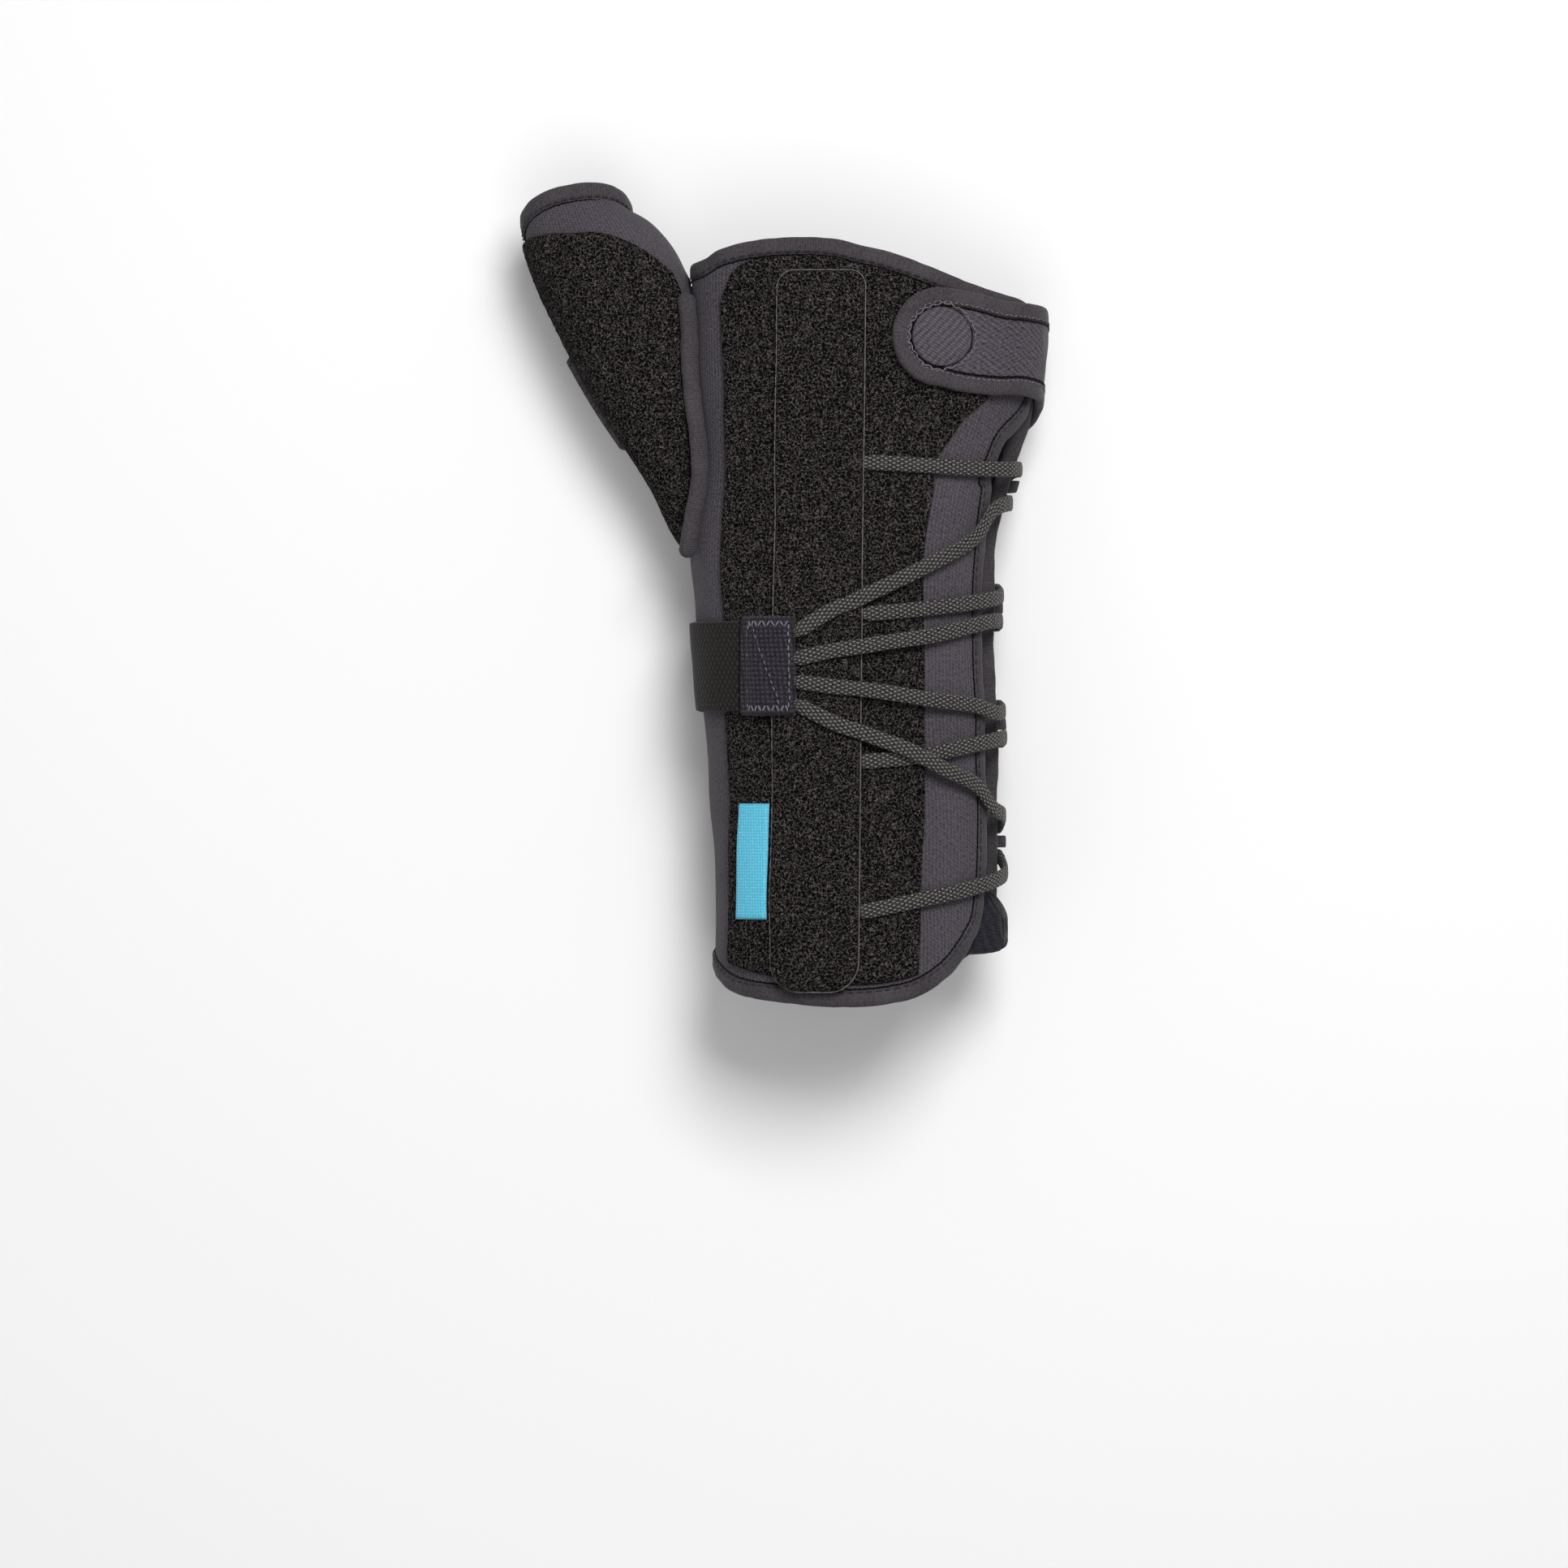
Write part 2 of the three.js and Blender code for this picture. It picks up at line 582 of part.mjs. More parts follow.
// Rings round the body at stations along it, for the solid that pieces beside it are cut by
function bodyCore(out, from, to, steps, sides) {
  const rings = [];
  for (let j = 0; j <= steps; j += 1) {
    const y = lerp(from, to, j / steps) * BODY_LENGTH;
    rings.push(Array.from({ length: sides }, (_, i) => body(i / sides * 360, y, out)));
  }
  return toSolid(loft(rings));
}

function thumbCore(out, from, to, steps, sides) {
  const rings = [];
  for (let j = 0; j <= steps; j += 1) {
    const along = lerp(from, to, j / steps);
    rings.push(Array.from({ length: sides }, (_, i) => thumb(i / sides * 360, along, out)));
  }
  return toSolid(loft(rings));
}

// Outline of the shell, shared by its wall and its bindings
const gapEdge = lineOnBody(GAP_EDGE);
const palmEdge = lineOnBody(PALM_EDGE);
const handEdge = lineOnBody([...HAND_EDGE_BACK, ...HAND_EDGE_PALM]);
const forearmEdge = lineOnBody([...FOREARM_EDGE_BACK, ...FOREARM_EDGE_PALM]);

function tapeRound(line, count, aside, grow = 0, from = 0, to = 1) {
  return tape({
    spots: spotsAlong(line, count, -WALL / 2, from, to),
    halfWidth: TAPE_WIDTH / 2 + grow,
    halfThickness: WALL / 2 + TAPE_PROUD + grow,
    aside,
    sides: 6,
  });
}

const TAPE_ASIDE = CLEARANCE + TAPE_WIDTH / 2;

// Shares of the gap tape's line where it starts, where it clears the shell's flare and where it ends
const GAP_TAPE_ENDS = [0.012, 0.14, 0.988];
const handTape = (grow) => tapeRound(handEdge, 36, TAPE_ASIDE, grow);

// One tape runs down the gap, round the forearm edge and up the other side of the gap
function gapTape(grow, steps, to) {
  const rows = [...[...GAP_EDGE].reverse(), ...FOREARM_EDGE_BACK.slice(1), ...FOREARM_EDGE_PALM,
    ...PALM_EDGE.slice(1)];
  return tapeRound(lineOnBody(rows), steps, -TAPE_ASIDE, grow, GAP_TAPE_ENDS[0], to);
}

function seamRoll(grow) {
  return tape({
    spots: spotsAlong(lineOnBody(THUMB_SEAM), 14, CLEARANCE + ROLL_THICKNESS / 2),
    halfWidth: ROLL_WIDTH / 2 + grow,
    halfThickness: ROLL_THICKNESS / 2 + grow,
  });
}

function buildShell() {
  const wall = sheet({
    place: patch(forearmEdge, handEdge, gapEdge, palmEdge),
    outer: 0,
    inner: -WALL,
    columns: 30,
    rows: 20,
  });
  const hole = thumbCore(-WALL, 0, 0.7, 8, 20);
  const flare = toSolid(gapTape(CLEARANCE, 14, GAP_TAPE_ENDS[1]));
  add('splint_shell', toGeometry(cut(toSolid(wall), hole, flare)), KNIT);
}

function buildBindings() {
  add('hand_rim_binding', handTape(0), BINDING);
  add('edge_binding', gapTape(0, 84, GAP_TAPE_ENDS[2]), BINDING);
}

function buildBack() {
  const sides = [PILE_BOTTOM, PILE_TOP, PILE_LEFT, PILE_RIGHT];
  const place = patch(...sides.map((rows) => lineOnBody(rows, PILE_FACE)));
  add('dorsal_pile_panel', sheet({
    place, outer: PILE_FACE, inner: CLEARANCE, columns: 12, rows: 18,
  }), PILE_CLOTH);

  // The strip's width narrows round its corners at both ends
  const [low, high] = STRIP_ENDS;
  const length = (high.along - low.along) * BODY_LENGTH;
  const stripPlace = (u, v) => {
    const end = Math.min(v, 1 - v) * length;
    const missing = STRIP_CORNER - Math.sqrt(Math.max(
      STRIP_CORNER ** 2 - Math.max(STRIP_CORNER - end, 0) ** 2, 0));
    const half = STRIP_WIDTH / 2 - missing;
    const across = lerp(low.across, high.across, v) + lerp(half, -half, u) / HAND_WIDTH;
    return placeOnBody({ across, along: lerp(low.along, high.along, v) }, STRIP_FACE);
  };
  const stations = [0, 0.006, 0.016, 0.032];
  const rows = 18;
  const spread = (v) => {
    const step = v * rows;
    const first = stations.length - 1;
    if (step <= first) {
      return stations[step];
    }
    if (step >= rows - first) {
      return 1 - stations[rows - step];
    }
    const inner = (step - first) / (rows - 2 * first);
    return lerp(stations[first], 1 - stations[first], inner);
  };
  add('dorsal_stay_strip', sheet({
    place: (u, v) => stripPlace(u, spread(v)),
    outer: STRIP_FACE,
    inner: STRIP_SEAT,
    columns: 4,
    rows,
  }), PILE_CLOTH);

  // The label lies along the strip's edge at the forearm end
  const labelRun = LABEL_LENGTH / BODY_LENGTH;
  add('side_label', sheet({
    place: (u, v) => {
      const along = LABEL_PLACE.along + labelRun * v;
      const share = (along - low.along) / (high.along - low.along);
      const edge = lerp(low.across, high.across, share) * HAND_WIDTH - STRIP_WIDTH / 2;
      const across = (edge - CLEARANCE - LABEL_WIDTH * u) / HAND_WIDTH;
      return placeOnBody({ across, along }, STRIP_SEAT);
    },
    outer: STRIP_SEAT + LABEL,
    inner: STRIP_SEAT,
    columns: 2,
    rows: 4,
  }), WOVEN_BLUE);
}

function buildTongue() {
  const lines = ['low', 'high', 'inner', 'outer'].map((name) => lineOnBody(TONGUE_OUTLINE[name]));
  const face = (around, y) => {
    const flare = 1 - smoothstep(y / BODY_LENGTH, TONGUE_FLARE.to, TONGUE_FLARE.from);
    const free = 1 - smoothstep(around, TONGUE_FLARE.outside, TONGUE_FLARE.inside);
    return TONGUE_FACE + TONGUE_FLARE.out * flare * free;
  };
  add('ulnar_tongue', sheet({
    place: patch(...lines),
    outer: face,
    inner: (around, y) => face(around, y) - TONGUE,
    columns: 6,
    rows: 14,
  }), RIB);
}

function buildStrap() {
  const middle = { x: STRAP_END.across * HAND_WIDTH, y: STRAP_END.along * BODY_LENGTH };
  const around = (degrees, radius) => {
    const angle = degToRad(degrees);
    const across = (middle.x + radius * Math.cos(angle)) / HAND_WIDTH;
    const along = (middle.y + radius * Math.sin(angle)) / BODY_LENGTH;
    return { across, along };
  };
  const turned = (row) => ({ around: row.around - 360, along: row.along });
  const arc = (from, to, radius) => {
    const steps = 4;
    return Array.from({ length: steps + 1 }, (_, i) => around(lerp(from, to, i / steps), radius));
  };
  const r = STRAP_HALF_WIDTH;
  const [lowTurn, lowCorner, lowSide, topSide, topCorner, topTurn] = STRAP_CORNERS;
  const lowEnd = arc(lowTurn, lowCorner, r);
  const lowRows = [...STRAP_LOW.map(turned), ...STRAP_LOW_BACK];
  const topRows = [...STRAP_TOP.map(turned), ...STRAP_TOP_BACK];
  const low = lineOnBody([...lowRows, ...lowEnd], STRAP_FACE);
  const top = lineOnBody([...topRows, ...arc(topTurn, topCorner, r)], STRAP_FACE);
  const palm = lineOnBody([turned(STRAP_LOW[0]), turned(STRAP_TOP[0])]);
  const end = lineOnBody(arc(lowCorner, topCorner, r), STRAP_FACE);
  const seat = (angle) => (
    lerp(STRAP_LOW_SEAT, STRAP_SEAT, smoothstep(angle, ...STRAP_CLIMB)));
  add('hand_strap', sheet({
    place: patch(low, top, palm, end),
    outer: (angle) => seat(angle) + STRAP,
    inner: seat,
    columns: 12,
    rows: 4,
  }), KNIT);

  const outline = lineOnBody([...lowRows, ...lowEnd, ...arc(lowSide, topSide, r),
    ...arc(topCorner, topTurn, r), ...[...topRows].reverse()], STRAP_FACE);
  const spots = spotsAlong(outline, 46, 0);
  spots.forEach((spot) => {
    spot.z = seat(spot.x) + STRAP / 2;
  });
  add('hand_strap_binding', tape({
    spots,
    halfWidth: TAPE_WIDTH / 2,
    halfThickness: STRAP / 2 + STRAP_TAPE_PROUD,
    aside: -TAPE_ASIDE - CLEARANCE,
    sides: 6,
  }), BINDING);

  const disc = (u, v) => {
    const square = new THREE.Vector2(2 * u - 1, 2 * v - 1);
    const most = Math.max(Math.abs(square.x), Math.abs(square.y));
    const round = square.length() > 0 ? square.setLength(most) : square;
    return placeOnBody({
      across: (middle.x + TAB_RADIUS * round.x) / HAND_WIDTH,
      along: (middle.y + TAB_RADIUS * round.y) / BODY_LENGTH,
    }, STRAP_FACE + TAB);
  };
  add('strap_round_tab', sheet({
    place: disc,
    outer: STRAP_FACE + CLEARANCE + TAB,
    inner: STRAP_FACE + CLEARANCE,
    columns: 6,
    rows: 6,
  }), WEBBING);
}

function buildThumb() {
  const bodySide = bodyCore(CLEARANCE, 0.45, 1.03, 12, 40);
  const roll = toSolid(seamRoll(CLEARANCE));
  const rim = toSolid(handTape(CLEARANCE));
  const cutters = [bodySide, roll, rim];
  const steps = 8;
  const sides = 22;
  const sleeve = toSolid(sheet({
    surface: thumb,
    place: (u, v) => new THREE.Vector2(360 * u, lerp(SLEEVE_START, 1, v)),
    outer: 0,
    inner: -WALL,
    columns: sides,
    rows: steps,
    closed: true,
  }));
  add('thumb_sleeve', toGeometry(cut(sleeve, ...cutters)), KNIT);
  add('thumb_seam_binding', seamRoll(0), BINDING);

  const onThumb = (rows, outer, columns, steps) => {
    const reach = readTable(rows, 'around');
    return toSolid(sheet({
      surface: thumb,
      place: (u, v) => {
        const around = lerp(rows[0].around, rows.at(-1).around, u);
        const { from, to } = reach(around);
        return new THREE.Vector2(around, lerp(from, to, v));
      },
      outer,
      inner: 2 * CLEARANCE,
      columns,
      rows: steps,
    }));
  };
  const pile = onThumb(THUMB_PILE, CLEARANCE + PILE_FACE, 13, 10);
  add('thumb_pile_panel', toGeometry(cut(pile, ...cutters)), PILE_CLOTH);
  const flap = onThumb(THUMB_FLAP, CLEARANCE + FLAP, 6, 6);
  add('thumb_flap', toGeometry(cut(flap, ...cutters)), KNIT);

  const ring = Array.from({ length: 28 }, (_, i) => (
    new THREE.Vector3(i / 28 * 360, 1, -WALL / 2)));
  add('thumb_rim_binding', tape({
    surface: thumb,
    spots: ring,
    halfWidth: TAPE_WIDTH / 2,
    halfThickness: WALL / 2 + TAPE_PROUD,
    aside: TAPE_ASIDE,
    sides: 6,
    circle: true,
  }), BINDING);
}

function buildLaces() {
  LACES.forEach((rows, index) => {
    const points = rows.map((row) => {
      const spot = placeOnBody(row, LACE_LEVELS[row.level]);
      return new THREE.Vector3(spot.x, spot.y, LACE_LEVELS[row.level]);
    });
    const spots = new THREE.CatmullRomCurve3(points).getSpacedPoints(28);
    add(`lace_${index + 1}`, tape({
      spots,
      halfWidth: LACE_WIDTH / 2,
      halfThickness: LACE_THICKNESS / 2,
      sides: 6,
    }), BRAID);

    const turn = rows[LOOP_TURN];
    const seat = CLEARANCE + LOOP_THICKNESS / 2;
    const bend = LACE_LEVELS[turn.level];
    const top = bend + LACE_THICKNESS / 2 + seat + 2 * CLEARANCE;
    const { fold, sewn, easing } = LOOP_PLACE;
    const ring = [[sewn, seat], [lerp(sewn, fold, 0.5), seat], [fold - easing, seat],
      [fold, (seat + top) / 2], [fold - easing, top], [lerp(sewn, fold, 0.5), top],
      [sewn + easing, (bend + top) / 2], [sewn - easing, (seat + bend) / 2]];
    const section = ring.map(([angle, out]) => new THREE.Vector2(angle, out));
    add(`guide_loop_${index + 1}`, ribbonLoop(section, turn.along * BODY_LENGTH), BINDING);
  });
}

// A ribbon bent round into a closed loop whose eye runs along the splint. Its section is a ring of
// (degrees, height), and its thickness stands square to that ring
function ribbonLoop(section, y) {
  const half = LOOP_WIDTH / 2;
  const size = section.length;
  const { reach } = bodyShape(y);
  const perDegree = degToRad(reach);
  const rings = section.map((spot, index) => {
    const before = section[(index + size - 1) % size];
    const after = section[(index + 1) % size];
    const run = new THREE.Vector2((after.x - before.x) * perDegree, after.y - before.y);
    run.setLength(LOOP_THICKNESS / 2);
    const corner = (way, side) => (
      body(spot.x - way * run.y / perDegree, y + side, spot.y + way * run.x));
    return [corner(1, -half), corner(1, half), corner(-1, half), corner(-1, -half)];
  });
  return loft(rings, true);
}

function buildPull() {
  const y = BAND_PLACE.along * BODY_LENGTH;
  const { patchLeft, patchRight } = BAND_PLACE;
  const seat = (angle, at) => {
    const from = placeOnBody({ across: STRIP_EDGE_ACROSS, along: at / BODY_LENGTH }, PATCH_SEAT).x;
    const to = placeOnBody({ across: patchLeft, along: at / BODY_LENGTH }, PATCH_SEAT).x;
    return lerp(PATCH_SEAT, STRIP_SEAT, smoothstep(angle, from, to));
  };
  const place = (width, left, right) => (u, v) => {
    const along = (y + lerp(-0.5, 0.5, v) * width) / BODY_LENGTH;
    const start = placeOnBody({ ...right, along }, PATCH_SEAT);
    const stop = placeOnBody({ ...left, along }, PATCH_SEAT);
    return start.lerp(stop, u);
  };
  add('pull_patch', sheet({
    place: place(PATCH_WIDTH, { across: patchLeft }, { across: patchRight }),
    outer: (angle, at) => seat(angle, at) + PATCH,
    inner: seat,
    columns: 6,
    rows: 2,
  }), WEBBING);
  const bandStart = patchLeft - 2 * CLEARANCE / HAND_WIDTH;
  const drop = (angle) => (
    lerp(STRIP_SEAT, 2 * CLEARANCE, smoothstep(angle, ...BAND_DROP)));
  add('pull_band', sheet({
    place: place(BAND_WIDTH, { around: BAND_PLACE.round }, { across: bandStart }),
    outer: (angle) => drop(angle) + BAND,
    inner: drop,
    columns: 10,
    rows: 2,
  }), ELASTIC);
}

buildShell();
buildBindings();
buildBack();
buildTongue();
buildStrap();
buildThumb();
buildLaces();
buildPull();

// The origin is the middle of the underside
splint.updateMatrixWorld(true);
const box = new THREE.Box3().setFromObject(splint);
const centre = box.getCenter(new THREE.Vector3());
splint.position.set(-centre.x, -centre.y, -box.min.z);

export default splint;
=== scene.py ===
"""Looks of a laced thumb spica splint for a right hand, lying palm side down.

+Y runs from forearm to fingers, +X to the little finger's side and +Z out of the back of the hand.
Shapes are worked out in millimetres from the forearm edge and put into metres round the origin.
"""

import logging
from dataclasses import dataclass
from enum import Enum
from typing import Callable, NamedTuple, Optional, Sequence

import bpy
import numpy as np
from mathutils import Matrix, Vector


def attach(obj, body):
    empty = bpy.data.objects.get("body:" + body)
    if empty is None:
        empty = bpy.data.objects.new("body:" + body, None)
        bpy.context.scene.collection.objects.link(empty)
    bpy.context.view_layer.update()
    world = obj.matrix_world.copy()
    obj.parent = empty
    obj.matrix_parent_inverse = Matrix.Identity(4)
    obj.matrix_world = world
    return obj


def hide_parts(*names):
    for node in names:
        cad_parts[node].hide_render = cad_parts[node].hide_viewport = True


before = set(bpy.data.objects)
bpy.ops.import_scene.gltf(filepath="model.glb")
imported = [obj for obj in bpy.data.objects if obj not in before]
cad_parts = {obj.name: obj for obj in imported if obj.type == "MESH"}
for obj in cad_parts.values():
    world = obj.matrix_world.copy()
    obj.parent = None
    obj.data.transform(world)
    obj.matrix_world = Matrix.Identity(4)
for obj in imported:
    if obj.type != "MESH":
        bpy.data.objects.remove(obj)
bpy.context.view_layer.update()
log = logging.getLogger("splint")

Array = np.ndarray
Offset = Callable[[Array, Array], Array]
Place = Callable[[Array, Array], tuple[Array, Array]]
Piece = bpy.types.Object
Tree = bpy.types.NodeTree
Socket = bpy.types.NodeSocket
Looks = tuple[Socket, Socket]

# Main sizes in millimetres
BODY_LENGTH = 213.0
HAND_WIDTH = 100.0
FOREARM_DEPTH = 62.0
THUMB_DEPTH = 34.0

# Cloth thicknesses and the gap between neighbours
WALL = 3.0
PILE = 1.2
STRIP = 2.4
TONGUE = 2.0
LABEL = 0.6
STRAP = 2.2
TAB = 0.9
BAND = 1.3
PATCH = 2.4
FLAP = 3.6
CLEARANCE = 0.3

# Tapes, straps and laces
TAPE_WIDTH = 4.0
TAPE_PROUD = 0.7
STRAP_TAPE_PROUD = 0.25
ROLL_WIDTH = 3.4
ROLL_THICKNESS = 5.0
STRIP_WIDTH = 25.0
STRAP_HALF_WIDTH = 9.2
TAB_RADIUS = 8.2
LACE_WIDTH = 4.4
LACE_THICKNESS = 1.6
BAND_WIDTH = 25.0
PATCH_WIDTH = 27.5
LABEL_WIDTH = 8.6
LABEL_LENGTH = 32.0
LOOP_WIDTH = 3.4
LOOP_THICKNESS = 0.8

# Layers over the shell, measured outwards from its face
PILE_FACE = CLEARANCE + PILE
STRIP_SEAT = PILE_FACE + CLEARANCE
STRIP_FACE = STRIP_SEAT + STRIP
PATCH_SEAT = STRIP_FACE + CLEARANCE
STRAP_SEAT = PILE_FACE + 2 * CLEARANCE
STRAP_FACE = STRAP_SEAT + STRAP
STRAP_LOW_SEAT = TAPE_PROUD + 2 * CLEARANCE
TONGUE_FACE = -WALL - TAPE_PROUD - 3 * CLEARANCE

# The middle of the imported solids' box, in the millimetres that the shapes are worked out in
CENTRE = np.array([0.115, 114.17, 0.0])
MM = 0.001


class Level(Enum):
    """Heights of a lace's middle line over the shell's face."""

    PILE = STRIP_SEAT + LACE_THICKNESS / 2
    STRIP = PATCH_SEAT + LACE_THICKNESS / 2
    CLIMB = (STRIP_SEAT + PATCH_SEAT + LACE_THICKNESS) / 2
    CROSS = STRIP_SEAT + LACE_THICKNESS * 1.5 + 2 * CLEARANCE
    LOOP = LOOP_THICKNESS + 2 * CLEARANCE + LACE_THICKNESS / 2


class Spot(NamedTuple):
    """A place on the body: millimetres seen from above, or degrees round it, at a share of its length."""

    along: float
    across: Optional[float] = None
    around: Optional[float] = None
    level: Optional[Level] = None


def over(across: float, along: float, level: Optional[Level] = None) -> Spot:
    """A spot on the back, by its share of the hand's width and of the body's length."""
    return Spot(along, across=across, level=level)


def turn(around: float, along: float, level: Optional[Level] = None) -> Spot:
    """A spot round the body, in degrees: 0 at the little finger's side, 90 on the back."""
    return Spot(along, around=around, level=level)


def on_back(*rows: Sequence[float]) -> tuple[Spot, ...]:
    """Spots on the back, each from its two shares."""
    return tuple(over(*row) for row in rows)


def round_body(*rows: Sequence[float]) -> tuple[Spot, ...]:
    """Spots round the body, each from its degrees and its share."""
    return tuple(turn(*row) for row in rows)


def laced(side: int, bend: float, rise: Level, out: Sequence[tuple],
          back: Sequence[tuple]) -> tuple[Spot, ...]:
    """A lace's spots: out over the back, through its loop and back to the patch.

    Args:
        side: 1 where it enters the loop nearer the fingers than it leaves it, or else -1.
        bend: The loop's share of the body's length.
        rise: The level at which it climbs on to the strip.
        out: Shares across and along on its way out, with degrees instead in the last row.
        back: The same on its way back, with degrees in the first row.

    Returns:
        The spots, each with its level.
    """
    levels = (Level.PILE, Level.PILE, rise, Level.STRIP, Level.STRIP, Level.STRIP)
    bow = tuple(turn(around, bend + side * along, Level.LOOP) for around, along in LOOP_BOW)
    first = (*(over(*row, Level.PILE) for row in out[:-1]), turn(*out[-1], Level.PILE))
    last = (turn(*back[0], Level.PILE), *(over(*row, level) for row, level in zip(back[1:], levels)))
    return (*first, *bow, *last)


# Cross sections of the body: share of its length, its sides as shares of the hand's width, its
# lowest and highest points as shares of the forearm's depth, and the superellipse's power
BODY_SECTIONS = (("along", "radial", "ulnar", "low", "top", "power"), (
    (0.00, -0.180, 0.597, -0.032, 1.000, 2.30),
    (0.10, -0.191, 0.597, -0.032, 0.985, 2.30),
    (0.20, -0.198, 0.592, -0.032, 0.965, 2.30),
    (0.35, -0.217, 0.586, -0.032, 0.920, 2.35),
    (0.50, -0.249, 0.582, -0.032, 0.850, 2.40),
    (0.58, -0.262, 0.582, -0.032, 0.808, 2.45),
    (0.63, -0.256, 0.594, -0.030, 0.790, 2.50),
    (0.70, -0.243, 0.632, -0.020, 0.775, 2.50),
    (0.78, -0.246, 0.688, 0.010, 0.770, 2.50),
    (0.86, -0.256, 0.705, 0.055, 0.770, 2.50),
    (0.93, -0.258, 0.698, 0.105, 0.765, 2.50),
    (1.00, -0.245, 0.690, 0.150, 0.755, 2.50),
))

# Cross sections of the thumb sleeve, each on a line from its outer side to the web
THUMB_SECTIONS = (("along", "outer_x", "outer_y", "web_x", "web_y", "middle", "back", "palm", "slant"), (
    (0.00, -0.140, 0.556, -0.080, 0.930, 0.400, 0.20, 0.46, 0.00),
    (0.17, -0.288, 0.608, -0.210, 0.936, 0.400, 0.22, 0.52, 0.00),
    (0.33, -0.377, 0.686, -0.255, 0.940, 0.395, 0.28, 0.56, 0.02),
    (0.50, -0.490, 0.772, -0.265, 0.953, 0.380, 0.37, 0.55, 0.06),
    (0.68, -0.605, 0.871, -0.302, 0.984, 0.350, 0.46, 0.52, 0.12),
    (0.84, -0.675, 0.941, -0.360, 1.017, 0.320, 0.49, 0.49, 0.18),
    (1.00, -0.726, 1.006, -0.425, 1.030, 0.300, 0.48, 0.48, 0.22),
))
THUMB_POWER = 2.2
SLEEVE_LENGTH = 95.0

# Thumb pile and flap: degrees round the sleeve, then from and to as shares of its length
THUMB_PILE = (("around", "start", "stop"), (
    (40, 0.05, 0.560),
    (50, 0.05, 0.670),
    (60, 0.05, 0.740),
    (78, 0.05, 0.820),
    (104, 0.05, 0.880),
    (136, 0.05, 0.930),
    (168, 0.05, 0.965),
    (186, 0.05, 0.975),
))
THUMB_FLAP = (("around", "start", "stop"), (
    (189, 0.440, 0.655),
    (200, 0.425, 0.668),
    (235, 0.420, 0.670),
    (265, 0.430, 0.660),
    (285, 0.470, 0.620),
))

# Outlines on the back of the splint and round its palm side
GAP_EDGE = on_back(
    (0.48, 0.075), (0.507, 0.094), (0.532, 0.127), (0.539, 0.252), (0.541, 0.631), (0.548, 0.683),
    (0.573, 0.716), (0.606, 0.748), (0.672, 0.786), (0.696, 0.829), (0.692, 0.88),
)
HAND_EDGE_BACK = on_back(
    (0.692, 0.88), (0.67, 0.898), (0.579, 0.911), (0.476, 0.928), (0.338, 0.953), (0.235, 0.967),
    (0.132, 0.978), (0.028, 0.98), (-0.075, 0.977), (-0.17, 0.967), (-0.225, 0.953),
)
FOREARM_EDGE_BACK = on_back(
    (0.48, 0.075), (0.444, 0.055), (0.381, 0.034), (0.31, 0.023), (0.156, 0.017), (-0.03, 0.024),
    (-0.13, 0.033),
)
HAND_EDGE_PALM = round_body(
    (186, 0.946), (200, 0.93), (225, 0.905), (270, 0.878), (315, 0.88), (345, 0.885), (357, 0.88),
)
FOREARM_EDGE_PALM = round_body(
    (166, 0.051), (184, 0.068), (215, 0.07), (270, 0.05), (300, 0.058), (325, 0.09), (340, 0.133),
    (350, 0.18),
)
PALM_EDGE = round_body((350, 0.18), (355, 0.218), (357, 0.28), (357, 0.63), (357, 0.76), (357, 0.88))
# The pile panel, corner by corner
PILE_LEFT = on_back(
    (-0.158, 0.053), (-0.163, 0.35), (-0.18, 0.56), (-0.181, 0.88), (-0.176, 0.92), (-0.15, 0.953),
)
PILE_TOP = on_back(
    (-0.15, 0.953), (-0.103, 0.97), (0.028, 0.976), (0.132, 0.974), (0.235, 0.963), (0.338, 0.949),
    (0.476, 0.924), (0.579, 0.907), (0.668, 0.893),
)
PILE_RIGHT = on_back(
    (0.377, 0.04), (0.384, 0.156), (0.396, 0.348), (0.41, 0.645), (0.42, 0.69), (0.44, 0.716),
    (0.476, 0.741), (0.51, 0.764), (0.572, 0.79), (0.63, 0.824), (0.662, 0.86), (0.668, 0.893),
)
PILE_BOTTOM = on_back((-0.158, 0.053), (-0.03, 0.036), (0.156, 0.026), (0.31, 0.031), (0.377, 0.04))
# The strap's two long edges, and the roll where the body overlaps the thumb's base
STRAP_TOP = round_body((300, 0.828), (330, 0.852), (357, 0.884))
STRAP_TOP_BACK = on_back((0.69, 0.893), (0.61, 0.896), (0.535, 0.905))
STRAP_LOW = round_body((300, 0.742), (330, 0.766), (357, 0.8))
STRAP_LOW_BACK = on_back((0.68, 0.815), (0.59, 0.815), (0.5, 0.819))
THUMB_SEAM = on_back(
    (-0.247, 0.93), (-0.243, 0.885), (-0.229, 0.798), (-0.212, 0.744), (-0.208, 0.702), (-0.217, 0.659),
    (-0.233, 0.615), (-0.244, 0.583),
)
